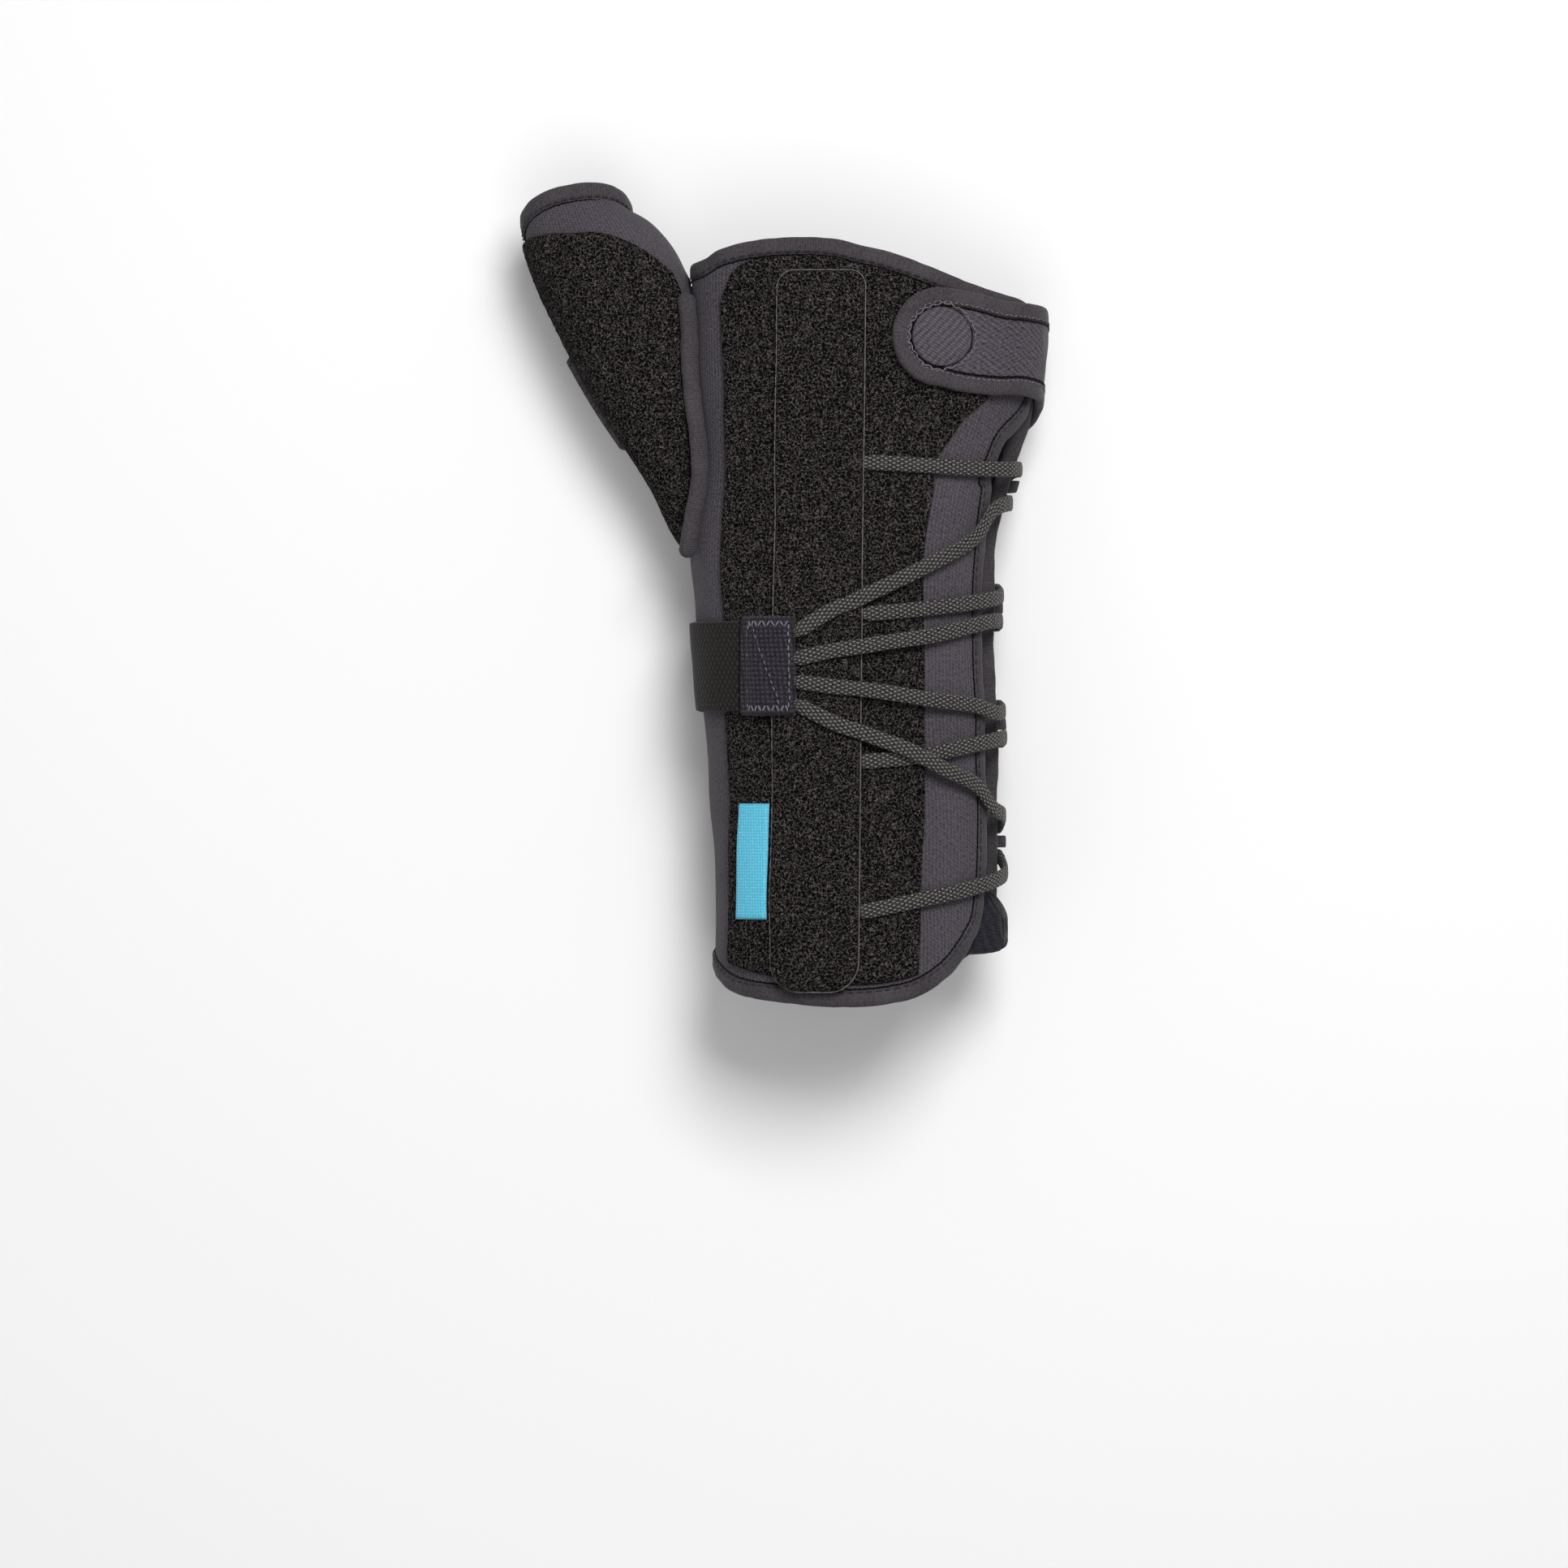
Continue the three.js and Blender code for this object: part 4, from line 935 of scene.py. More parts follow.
def add(tree: Tree, kind: str, inputs: Optional[dict] = None, **settings) -> bpy.types.Node:
    """Adds a node, sets its properties, and sets or links its inputs.

    Args:
        tree: The tree it goes into.
        kind: The node's type.
        inputs: Values or other nodes' outputs, by input name or number.
        **settings: The node's own properties.

    Returns:
        The node.
    """
    node = tree.nodes.new(kind)
    for name, value in settings.items():
        setattr(node, name, value)
    for key, value in (inputs or {}).items():
        if isinstance(value, Socket):
            tree.links.new(value, node.inputs[key])
        else:
            node.inputs[key].default_value = value
    return node


def maths(tree: Tree, operation: str, first: Socket, second: Socket | float) -> Socket:
    """The result of one sum or product."""
    return add(tree, "ShaderNodeMath", {0: first, 1: second}, operation=operation).outputs[0]


def noise(tree: Tree, place: Socket, size: float, output: str = "Fac", **inputs: float) -> Socket:
    """Noise whose patches are about size across."""
    return add(tree, "ShaderNodeTexNoise", {"Vector": place, "Scale": 1 / size, **inputs}).outputs[output]


def stretch(tree: Tree, value: Socket, low: float, high: float, kind: str = "SMOOTHSTEP",
            ends: tuple[float, float] = (0.0, 1.0)) -> Socket:
    """A value drawn out from between low and high to between the two ends."""
    return add(tree, "ShaderNodeMapRange", {
        "Value": value, "From Min": low, "From Max": high, "To Min": ends[0], "To Max": ends[1],
    }, interpolation_type=kind).outputs["Result"]


def emptied(material: bpy.types.Material | bpy.types.World) -> Tree:
    """The node tree of a material or a world, with nothing in it."""
    material.use_nodes = True
    material.node_tree.nodes.clear()
    return material.node_tree


@dataclass(frozen=True)
class Finish:
    """What every cloth has: two colours, a roughness, a relief in mm, a sheen and a gloss."""

    name: str
    dark: str
    light: str
    roughness: float = 0.88
    relief: float = 0.25
    sheen: float = 0.08
    gloss: float = 0.15

    def material(self) -> bpy.types.Material:
        """The finish as a material: its pattern mixes the two colours and raises the surface."""
        found = bpy.data.materials.get(self.name)
        if found:
            return found
        made = bpy.data.materials.new(self.name)
        tree = emptied(made)
        tint, height = self.pattern(tree)
        colour = add(tree, "ShaderNodeMix", {"Factor": tint}, data_type="RGBA")
        for key, value in (("A", linear(self.dark)), ("B", linear(self.light))):
            next(s for s in colour.inputs if s.name == key and s.type == "RGBA").default_value = value
        mixed = next(s for s in colour.outputs if s.type == "RGBA")
        bump = add(tree, "ShaderNodeBump", {"Strength": 0.9, "Distance": self.relief * MM, "Height": height})
        shader = add(tree, "ShaderNodeBsdfPrincipled", {
            "Base Color": mixed, "Normal": bump.outputs["Normal"], "Roughness": self.roughness,
            "Sheen Weight": self.sheen, "Sheen Roughness": 0.45, "Specular IOR Level": self.gloss,
        })
        add(tree, "ShaderNodeOutputMaterial", {"Surface": shader.outputs["BSDF"]})
        return made

    def pattern(self, tree: Tree) -> Looks:
        """The sockets that give the share of the light colour and the height."""
        raise NotImplementedError

    def wear(self, tree: Tree, size: float = 14.0) -> Socket:
        """Slow patches of handled cloth, from Object coordinates, a patch about size mm across."""
        place = add(tree, "ShaderNodeTexCoord").outputs["Object"]
        return noise(tree, place, size * MM, Detail=3.0)

    def blend(self, tree: Tree, *terms: tuple[Socket, float]) -> Socket:
        """The sum of sockets, each times its weight, held between 0 and 1."""
        parts = [maths(tree, "MULTIPLY", socket, weight) for socket, weight in terms]
        total = parts[0]
        for part in parts[1:]:
            total = maths(tree, "ADD", total, part)
        return add(tree, "ShaderNodeClamp", {"Value": total}).outputs[0]

    def cloth(self, tree: Tree, turned: float = 0.0) -> Socket:
        """The piece's own millimetres, turned by an angle in degrees."""
        marks = add(tree, "ShaderNodeUVMap", uv_map="cloth").outputs["UV"]
        turn_by = (0, 0, np.radians(turned))
        return add(tree, "ShaderNodeMapping", {"Vector": marks, "Rotation": turn_by}).outputs[0]

    def fibres(self, tree: Tree, size: float) -> Socket:
        """Loose fibres as flecks about size mm across on the piece's own map, from 0 to 1."""
        flecks = noise(tree, self.cloth(tree), size, Detail=2.0, Roughness=0.65)
        return stretch(tree, flecks, 0.36, 0.64, "LINEAR")

    def waves(self, tree: Tree, pitch: float, turned: float = 0.0,
              bend: float = 0.0) -> Socket:
        """Sine ridges pitch mm apart across the piece's own map, from 0 to 1.

        Args:
            tree: The material's tree.
            pitch: Millimetres between ridges.
            turned: Degrees that the ridges are turned by.
            bend: Strength of the ridges' unevenness.

        Returns:
            The ridges' height.
        """
        wave = add(tree, "ShaderNodeTexWave", {
            "Vector": self.cloth(tree, turned), "Scale": 2 * np.pi / 20 / pitch,
            "Distortion": bend, "Detail": 1.0, "Detail Scale": 1.5,
        }, wave_type="BANDS", bands_direction="X")
        return wave.outputs["Fac"]


@dataclass(frozen=True)
class Knit(Finish):
    """Fine ribbed jersey: narrow ribs of slanting loops, a soft matt face with a faint sheen."""

    rib: float = 1.1
    course: float = 0.9
    turned: float = 0.0

    def pattern(self, tree: Tree) -> Looks:
        """Ribs crossed by finer courses, drawn coarser than real ribs so that they show."""
        ribs = self.waves(tree, self.rib, self.turned, 1.4)
        courses = self.waves(tree, self.course, self.turned + 62, 1.6)
        fuzz = self.fibres(tree, 0.9)
        tint = self.blend(tree, (ribs, 0.24), (courses, 0.18), (fuzz, 0.38), (self.wear(tree), 0.24))
        height = self.blend(tree, (ribs, 0.5), (courses, 0.3), (fuzz, 0.3))
        return tint, height


@dataclass(frozen=True)
class LoopPile(Finish):
    """Brushed nylon loops for a hook fastener: dark hollows among curls that catch the light."""

    curl: float = 0.82

    def pattern(self, tree: Tree) -> Looks:
        """Rims of cells on swirled coordinates: the distance to a cell's edge, drawn as thin curls."""
        place = add(tree, "ShaderNodeTexCoord").outputs["Object"]
        size = self.curl * MM
        swirl = noise(tree, place, 1.5 * size, "Color", Detail=2.0, Distortion=0.6)
        shift = add(tree, "ShaderNodeVectorMath", {0: swirl, "Scale": 1.7 * size}, operation="SCALE")
        moved = add(tree, "ShaderNodeVectorMath", {0: place, 1: shift.outputs[0]},
                    operation="ADD").outputs[0]
        cells = add(tree, "ShaderNodeTexVoronoi", {"Vector": moved, "Scale": 1 / (1.35 * size)},
                    feature="DISTANCE_TO_EDGE").outputs["Distance"]
        curls = stretch(tree, cells, 0.02, 0.26, ends=(1.0, 0.0))
        grain = noise(tree, moved, 0.55 * size, Detail=3.0, Roughness=0.75)
        lit = stretch(tree, grain, 0.44, 0.62)
        patchy = maths(tree, "MULTIPLY", curls, lit)
        tint = self.blend(tree, (patchy, 0.94), (lit, 0.05), (self.wear(tree, 9.0), 0.02))
        height = self.blend(tree, (curls, 0.55), (grain, 0.45))
        return tint, height


@dataclass(frozen=True)
class EdgeTape(Finish):
    """Stretch binding, knitted fine and folded over an edge: smooth, with faint cross ribs."""

    rib: float = 0.7

    def pattern(self, tree: Tree) -> Looks:
        """Cross ribs, drawn coarser than real ones so that they show, with fuzz and slow patches."""
        ribs = self.waves(tree, self.rib, 90.0, 0.8)
        fuzz = self.fibres(tree, 0.8)
        tint = self.blend(tree, (ribs, 0.16), (fuzz, 0.30), (self.wear(tree, 8.0), 0.44))
        return tint, self.blend(tree, (ribs, 0.35), (fuzz, 0.4))


@dataclass(frozen=True)
class Weave(Finish):
    """Two sets of threads over and under: webbing, twill or elastic by their pitch and slant.

    The threads are drawn coarser than real ones so that they show.
    """

    warp: float = 1.0
    weft: float = 1.0
    slant: float = 0.0
    cross: float = 90.0

    def pattern(self, tree: Tree) -> Looks:
        """The product of two sets of ridges, so that each thread shows where it comes over."""
        first = self.waves(tree, self.warp, self.slant, 1.2)
        second = self.waves(tree, self.weft, self.slant + self.cross, 1.2)
        both = maths(tree, "MULTIPLY", first, second)
        fuzz = self.fibres(tree, 0.8)
        tint = self.blend(tree, (both, 0.68), (fuzz, 0.28), (self.wear(tree, 6.0), 0.14))
        return tint, self.blend(tree, (both, 0.8), (fuzz, 0.2))


@dataclass(frozen=True)
class Braid(Finish):
    """Flat braided cord: two sets of strands slanting in from the edges, each strand a fleck."""

    strand: float = 1.05

    def pattern(self, tree: Tree) -> Looks:
        """Flecks where two slanting sets of ridges cross, drawn coarser than real strands."""
        left = self.waves(tree, self.strand, 28.0, 0.4)
        right = self.waves(tree, self.strand, -28.0, 0.4)
        flecks = stretch(tree, maths(tree, "MULTIPLY", left, right), 0.15, 0.75)
        fuzz = self.fibres(tree, 0.7)
        tint = self.blend(tree, (flecks, 0.80), (fuzz, 0.20))
        return tint, self.blend(tree, (flecks, 0.9), (fuzz, 0.1))


@dataclass(frozen=True)
class Yarn(Finish):
    """Spun polyester sewing thread: a slight twist and a soft gloss."""

    def pattern(self, tree: Tree) -> Looks:
        """A slanting twist under slow unevenness."""
        twist = self.waves(tree, 0.5, 35.0, 0.3)
        tint = self.blend(tree, (twist, 0.4), (self.wear(tree, 5.0), 0.5))
        return tint, twist


@dataclass(frozen=True)
class Backdrop:
    """Matt seamless paper for the floor: even, with a hardly visible grain."""

    name: str = "seamless_paper"
    colour: str = "#f4f4f4"

    def material(self) -> bpy.types.Material:
        """A rough white shader with a fine bump."""
        made = bpy.data.materials.new(self.name)
        tree = emptied(made)
        place = add(tree, "ShaderNodeTexCoord").outputs["Object"]
        grain = noise(tree, place, 1 / 900)
        bump = add(tree, "ShaderNodeBump", {"Strength": 0.05, "Distance": 0.0002, "Height": grain})
        shader = add(tree, "ShaderNodeBsdfPrincipled", {
            "Base Color": linear(self.colour), "Roughness": 0.9, "Normal": bump.outputs["Normal"]})
        add(tree, "ShaderNodeOutputMaterial", {"Surface": shader.outputs["BSDF"]})
        return made


KNIT = Knit("ribbed_jersey", "#211e22", "#5c575f", roughness=0.92, relief=0.16)
STRAP_KNIT = Knit("strap_jersey", "#0c0a0d", "#625c64", roughness=0.9, relief=0.16, rib=1.3, turned=52.0)
PILE_CLOTH = LoopPile("loop_pile", "#020202", "#645e5d", roughness=0.95, relief=0.8, sheen=0.0, gloss=0.02)
BINDING = EdgeTape("edge_tape", "#1f1c1f", "#565156", roughness=0.82, relief=0.12)
RIB = Knit("rib_knit_tongue", "#0e0d11", "#33313a", roughness=0.95, relief=0.5, rib=1.9, course=0.8,
           turned=12.0)
TWILL = Weave("twill_cloth", "#2f2b31", "#6c666e", roughness=0.85, relief=0.2, warp=0.7, weft=1.4, slant=52.0)
BRAID = Braid("flat_braid", "#090808", "#83807d", roughness=0.72, relief=0.35)
WEBBING = Weave("coarse_webbing", "#050408", "#45404b", roughness=0.78, relief=0.35, warp=1.15, weft=1.3)
ELASTIC = Weave("woven_elastic", "#060505", "#35302f", roughness=0.8, relief=0.2, warp=1.2, weft=1.2,
                slant=28.0, cross=124.0)
WOVEN_BLUE = Weave("woven_ribbon", "#45a9c8", "#7cd6ee", roughness=0.6, relief=0.1, warp=0.8, weft=0.8)
THREAD = Yarn("sewing_thread", "#100f11", "#3c393f", roughness=0.6, relief=0.1)
PALE_THREAD = Yarn("pale_thread", "#3f3b42", "#8d8892", roughness=0.55, relief=0.1)
# Near-black, nearly matt thread for the lines laid at the foot of raised tapes and round the tab: painted
# shade in those crevices, not a real seam
PAINTED_SHADE_THREAD = Yarn("painted_crevice_shade", "#020202", "#0f0e10", roughness=0.9, relief=0.1, gloss=0.02)
BOX_THREAD = Yarn("box_thread", "#3b3942", "#9a97a0", roughness=0.55, relief=0.1)
CUT_EDGE = Yarn("frayed_edge", "#2c2a29", "#8f8a86", roughness=0.8, relief=0.15)


# ---- sub-assemblies


def dress(piece: Piece, finish: Finish, slot: str, *nodes: str) -> Piece:
    """Gives a piece its finish, puts it under the root body, hides the solids that it stands for, and reports
    it.

    Args:
        piece: The piece.
        finish: Its cloth.
        slot: Not used.
        *nodes: The solids that it stands for.

    Returns:
        The piece.
    """
    if not piece.data.polygons:
        raise ValueError(f"{piece.name} came out empty")
    piece.data.materials.clear()
    piece.data.materials.append(finish.material())
    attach(piece, "root")
    if nodes:
        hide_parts(*nodes)
    log.info("%s: %d faces in %s", piece.name, len(piece.data.polygons), finish.name)
    return piece


# The tape as sewn: it laps over the edge that it binds
TAPE_LAP = 0.6
TAPE_HALF = (TAPE_WIDTH + CLEARANCE + TAPE_LAP) / 2
BOUND_ASIDE = TAPE_HALF - TAPE_LAP

GAP_LINE = Line(GAP_EDGE)
PALM_LINE = Line(PALM_EDGE)
HAND_LINE = Line(HAND_EDGE_BACK + HAND_EDGE_PALM)
FOREARM_LINE = Line(FOREARM_EDGE_BACK + FOREARM_EDGE_PALM)
BOUND_LINE = Line(tuple(reversed(GAP_EDGE)) + FOREARM_EDGE_BACK[1:] + FOREARM_EDGE_PALM + PALM_EDGE[1:])


# How a tape is sewn down: its stitches' places, and those of the painted shade line in the crevice at its
# foot, beside its foot and over the wall
STITCH_ASIDE = 0.8
SHADE_LINE_ASIDE = 0.1
SHADE_LINE_UP = 0.05


def seam(path: Path, name: str, aside: float, up: float, finish: Finish, **sewing: object) -> Piece:
    """A row of stitches beside a path.

    Args:
        path: What the stitches follow.
        name: The piece's name.
        aside: Millimetres sideways in the surface.
        up: Millimetres out of it.
        finish: The thread.
        **sewing: Fields of Stitches.

    Returns:
        The row as one piece.
    """
    row = Stitches(name, path.moved(aside, up), path.normals, **sewing)
    return dress(row.build(), finish, "binding")


def lay_painted_shade(path: Path, name: str, aside: float, up: float, circle: bool = False) -> Piece:
    """Painted shade: a near-black line of stitches that touch end to end, laid in the crevice where a tape is
    sewn down.
    """
    return seam(path, name, aside, up, PAINTED_SHADE_THREAD, pitch=1.3, length=1.6, swing=0.05, width=0.3,
                circle=circle)


def sew_down(tape: Tape, stem: str, side: float, pitch: float) -> None:
    """A tape's stitches and the painted shade line in the crevice at its foot, on the side given by 1 or -1.

    Args:
        tape: The tape.
        stem: What the names of both rows start with.
        side: 1 or -1.
        pitch: Millimetres from stitch to stitch.
    """
    path, foot = tape.path(), BOUND_ASIDE - TAPE_HALF
    seam(path, f"{stem}_stitches", side * (foot + STITCH_ASIDE), WALL / 2 + TAPE_PROUD, THREAD,
         pitch=pitch, length=1.7, width=0.22, circle=tape.circle)
    # The row named with _seam is painted shade in the crevice at the tape's foot.
    lay_painted_shade(path, f"{stem}_seam", side * (foot - SHADE_LINE_ASIDE), WALL / 2 + SHADE_LINE_UP, tape.circle)


def edge_tape(name: str, line: Line, count: int, aside: float, grow: float = 0.0,
              start: float = 0.0, stop: float = 1.0) -> Tape:
    """The binding folded over the shell's edge along a line."""
    return Tape(name, line.spots(count, -WALL / 2, start, stop), TAPE_HALF + grow,
                WALL / 2 + TAPE_PROUD + grow, aside=aside, power=3.4, ripple=0.05)


@dataclass
class Wall:
    """The padded wall with the tapes that bind its edges."""

    columns: int = 190
    rows: int = 130
    stitch_pitch: float = 2.6

    def build(self) -> None:
        """The wall, cut for the thumb, then both bindings with their stitches."""
        sheet = Sheet("padded_wall", patch(FOREARM_LINE, HAND_LINE, GAP_LINE, PALM_LINE),
                      level_of(0.0), level_of(-WALL), self.columns, self.rows)
        wall = cut(sheet.build(), core(Surface.THUMB, -WALL, 0, 0.7, 24, 64))
        dress(wall, KNIT, "knit", "splint_shell")
        hand = edge_tape("hand_tape", HAND_LINE, 260, BOUND_ASIDE)
        dress(hand.build(), BINDING, "binding", "hand_rim_binding")
        edge = edge_tape("gap_tape", BOUND_LINE, 520, -BOUND_ASIDE, 0.0, 0.012, 0.988)
        dress(edge.build(), BINDING, "binding", "edge_binding")
        sew_down(hand, "hand_tape", 1, self.stitch_pitch)
        sew_down(edge, "gap_tape", -1, self.stitch_pitch)


@dataclass
class Back:
    """The pile panel on the back, the strip over its stay and the small label."""

    panel_columns: int = 150
    panel_rows: int = 330
    strip_columns: int = 44
    strip_rows: int = 330
    low_corner: float = 8.5
    high_corner: float = 4.5

    def build(self) -> None:
        """Lays the three pieces one over the other."""
        lines = (Line(rows, PILE_FACE) for rows in (PILE_BOTTOM, PILE_TOP, PILE_LEFT, PILE_RIGHT))
        panel = Sheet("back_pile", patch(*lines), level_of(PILE_FACE), level_of(CLEARANCE),
                      self.panel_columns, self.panel_rows, round_edge=0.9, ruffle=0.16, seed=3)
        dress(panel.build(), PILE_CLOTH, "pile", "dorsal_pile_panel")
        strip = Sheet("stay_strip", self.strip_place, level_of(STRIP_FACE), level_of(STRIP_SEAT),
                      self.strip_columns, self.strip_rows, round_edge=1.1, ruffle=0.18, seed=5)
        dress(strip.build(), PILE_CLOTH, "pile", "dorsal_stay_strip")
        self.edge_of_strip()
        label = Sheet("side_tab", self.label_place, level_of(STRIP_SEAT + LABEL),
                      level_of(STRIP_SEAT), 16, 48, round_edge=0.3)
        dress(label.build(), WOVEN_BLUE, "label", "side_label")

    def strip_place(self, u: Array, v: Array) -> tuple[Array, Array]:
        """The strip's outline: its half width less the missing part of a quarter circle at each end."""
        x, y = self.strip_middle(v)
        length = (STRIP_HIGH.along - STRIP_LOW.along) * BODY_LENGTH
        corner = np.where(v < 0.5, self.low_corner, self.high_corner)
        inside = np.maximum(corner - np.minimum(v, 1 - v) * length, 0)
        missing = corner - np.sqrt(np.maximum(corner**2 - inside**2, 0))
        half = STRIP_WIDTH / 2 - missing
        return seen_from_above(x + half * (1 - 2 * u), y, STRIP_FACE)

    def strip_middle(self, share: Array) -> tuple[Array, Array]:
        """The strip's middle line in millimetres seen from above, at a share of its length."""
        across = STRIP_LOW.across + (STRIP_HIGH.across - STRIP_LOW.across) * share
        along = STRIP_LOW.along + (STRIP_HIGH.along - STRIP_LOW.along) * share
        return across * HAND_WIDTH, along * BODY_LENGTH

    def edge_of_strip(self) -> None:
        """The paler cut edge that shows all round the strip, as one closed thread of fray."""
        count, end = 24, 0.04
        ends = end * (1 - np.cos(np.linspace(0, np.pi / 2, count)))
        rise = np.concatenate([ends, np.linspace(0.045, 0.955, 220), 1 - ends[::-1]])
        flat = np.linspace(0, 1, count)[1:-1]
        u = np.concatenate([0 * rise, flat, 0 * rise + 1, flat[::-1]])
        v = np.concatenate([rise, 0 * flat + 1, rise[::-1], 0 * flat])
        around, y = self.strip_place(u, v)
        spots = np.stack([around, y, np.full_like(v, STRIP_SEAT + 0.5 * STRIP)], -1)
        tape = Tape("strip_cut_edge", spots, 0.2, 0.5, sides=8, ripple=0.5, ripple_length=2.3,
                    circle=True)
        dress(tape.build(), CUT_EDGE, "pile")

    def label_place(self, u: Array, v: Array) -> tuple[Array, Array]:
        """The label's rectangle beside the strip's edge, seen from above."""
        along = LABEL_ALONG + LABEL_LENGTH / BODY_LENGTH * v
        share = (along - STRIP_LOW.along) / (STRIP_HIGH.along - STRIP_LOW.along)
        x = self.strip_middle(share)[0] - STRIP_WIDTH / 2 - CLEARANCE - LABEL_WIDTH * u
        return seen_from_above(x, along * BODY_LENGTH, STRIP_SEAT)


@dataclass
class Tongue:
    """The ribbed knit tongue behind the laced gap, flaring out at the forearm end."""

    columns: int = 60
    rows: int = 150
    rib: float = 3.6
    rib_height: float = 0.3

    def build(self) -> None:
        """A patch under the wall, whose free corner swings outwards, with raised ribs."""
        lines = (Line(rows) for rows in (TONGUE_LOW, TONGUE_HIGH, TONGUE_INNER, TONGUE_OUTER))
        sheet = Sheet("rib_tongue", patch(*lines), self.face,
                      lambda around, run: self.face(around, run) - TONGUE,
                      self.columns, self.rows, round_edge=0.8)
        piece = dress(sheet.build(), RIB, "rib", "ulnar_tongue")

    def face(self, around: Array, run: Array) -> Array:
        """The height of its outer face: flared at the free corner, and ribbed along it."""
        flare = 1 - smoothstep(run / BODY_LENGTH, FLARE_TO, FLARE_FROM)
        free = 1 - smoothstep(around, FLARE_OUTSIDE, FLARE_INSIDE)
        ribs = self.rib_height * (np.sin((around + run * 0.12) * 2 * np.pi / self.rib) - 1)
        return TONGUE_FACE + FLARE_OUT * flare * free + ribs * 0.5


@dataclass
class Strap:
    """The hand strap with its binding, its stitches and the round stitched tab."""

    columns: int = 120
    rows: int = 56

    def build(self) -> None:
        """The strap's face between its two long edges, bound all round but where it is sewn on."""
        r = STRAP_HALF_WIDTH
        low_rows = [turn(s.around - 360, s.along) for s in STRAP_LOW] + list(STRAP_LOW_BACK)
        top_rows = [turn(s.around - 360, s.along) for s in STRAP_TOP] + list(STRAP_TOP_BACK)
        low = Line(low_rows + self.arc(270, 225, r), STRAP_FACE)
        top = Line(top_rows + self.arc(85, 135, r), STRAP_FACE)
        palm, end = Line([low_rows[0], top_rows[0]]), Line(self.arc(225, 135, r), STRAP_FACE)
        sheet = Sheet("hand_strap_face", patch(low, top, palm, end), self.puffed, self.seat,
                      self.columns, self.rows, round_edge=0.8)
        dress(sheet.build(), STRAP_KNIT, "knit", "hand_strap")
        outline = Line(low_rows + self.arc(270, 225, r) + self.arc(210, 150, r)
                       + self.arc(135, 85, r) + top_rows[::-1], STRAP_FACE)
        spots = outline.spots(300)
        spots[:, 2] = self.seat(spots[:, 0], spots[:, 1]) + STRAP / 2
        tape = Tape("strap_tape", spots, TAPE_HALF, STRAP / 2 + STRAP_TAPE_PROUD,
                    aside=-BOUND_ASIDE - CLEARANCE, power=2.6, ripple=0.06, ripple_length=11)
        dress(tape.build(), BINDING, "binding", "hand_strap_binding")
        path = tape.path()
        up = STRAP / 2 + STRAP_TAPE_PROUD
        # Painted shade in the crevice at the foot of the strap's tape.
        lay_painted_shade(path, "strap_tape_painted_shade", TAPE_LAP - CLEARANCE + 0.2, STRAP / 2 + 0.15)
        seam(path, "strap_tape_stitches", -0.55, up, PALE_THREAD, pitch=1.5, length=1.1, swing=0.3,
             style=Thread.ZIGZAG, width=0.22)
        self.tab()

    def arc(self, start: float, stop: float, radius: float) -> list[Spot]:
        """Spots on a circle round the strap's end, seen from above."""
        turns = np.radians(np.linspace(start, stop, 5))
        x = STRAP_X + radius * np.cos(turns)
        y = STRAP_Y + radius * np.sin(turns)
        return [over(a / HAND_WIDTH, b / BODY_LENGTH) for a, b in zip(x, y)]

    def seat(self, around: Array, run: Array) -> Array:
        """The height of its underside, lower where it leaves the pile."""
        return STRAP_LOW_SEAT + (STRAP_SEAT - STRAP_LOW_SEAT) * smoothstep(around, *STRAP_CLIMB)

    def puffed(self, around: Array, run: Array) -> Array:
        """Its face, with shallow puckers across it as on quilted foam."""
        pucker = 0.14 * np.sin(around / 2.6) * np.sin(run / 2.9 + 0.6)
        return self.seat(around, run) + STRAP + pucker

    def tab(self) -> None:
        """The round tab: a disc as a squared circle, domed, with a wavering line of stitches and a near-black
        ring of painted shade at its foot.
        """
        sheet = Sheet("round_tab", self.disc, self.dome,
                      level_of(STRAP_FACE + CLEARANCE), 40, 40, round_edge=0.5)
        dress(sheet.build(), TWILL, "twill", "strap_round_tab")
        turns = np.linspace(0, 2 * np.pi, 161)[:-1]
        # The ring named seam is painted shade at the tab's rim; the pale zigzag just outside it is the
        # stitching.
        for name, radius, style, finish in (("seam", 1.0, Thread.RUNNING, PAINTED_SHADE_THREAD),
                                            ("stitches", 1.11, Thread.ZIGZAG, PALE_THREAD)):
            r = TAB_RADIUS * (radius + 0.035 * np.sin(turns * 7 + 1) * np.sin(turns * 3))
            x = STRAP_X + r * np.cos(turns)
            y = STRAP_Y + r * np.sin(turns)
            height = STRAP_FACE + 0.25
            around, run = seen_from_above(x, y, height)
            points = body(around, run, height)
            normals = points - body(around, run, height - 1.0)
            row = Stitches(f"tab_{name}", points, normals, pitch=1.3, length=1.5, width=0.26,
                           swing=0.35 if style is Thread.ZIGZAG else 0.05, style=style, circle=True)
            dress(row.build(), finish, "binding")

    def disc(self, u: Array, v: Array) -> tuple[Array, Array]:
        """A square of shares drawn in to a circle: each ring keeps its larger side as its radius."""
        a, b = 2 * u - 1, 2 * v - 1
        most, length = np.maximum(np.abs(a), np.abs(b)), np.hypot(a, b)
        share = np.where(length > 0, most / np.maximum(length, 1e-9), 0)
        x = STRAP_X + TAB_RADIUS * a * share
        y = STRAP_Y + TAB_RADIUS * b * share
        return seen_from_above(x, y, STRAP_FACE + TAB)

    def dome(self, around: Array, run: Array) -> Array:
        """The tab's face: level, with a shallow ring inside its line of stitches."""
        points = body(around, run, STRAP_FACE)
        x = points[..., 0] - STRAP_X
        y = points[..., 1] - STRAP_Y
        groove = np.exp(-(((np.hypot(x, y) / TAB_RADIUS - 0.86) / 0.07) ** 2))
        return STRAP_FACE + CLEARANCE + TAB + 0.1 - 0.35 * groove


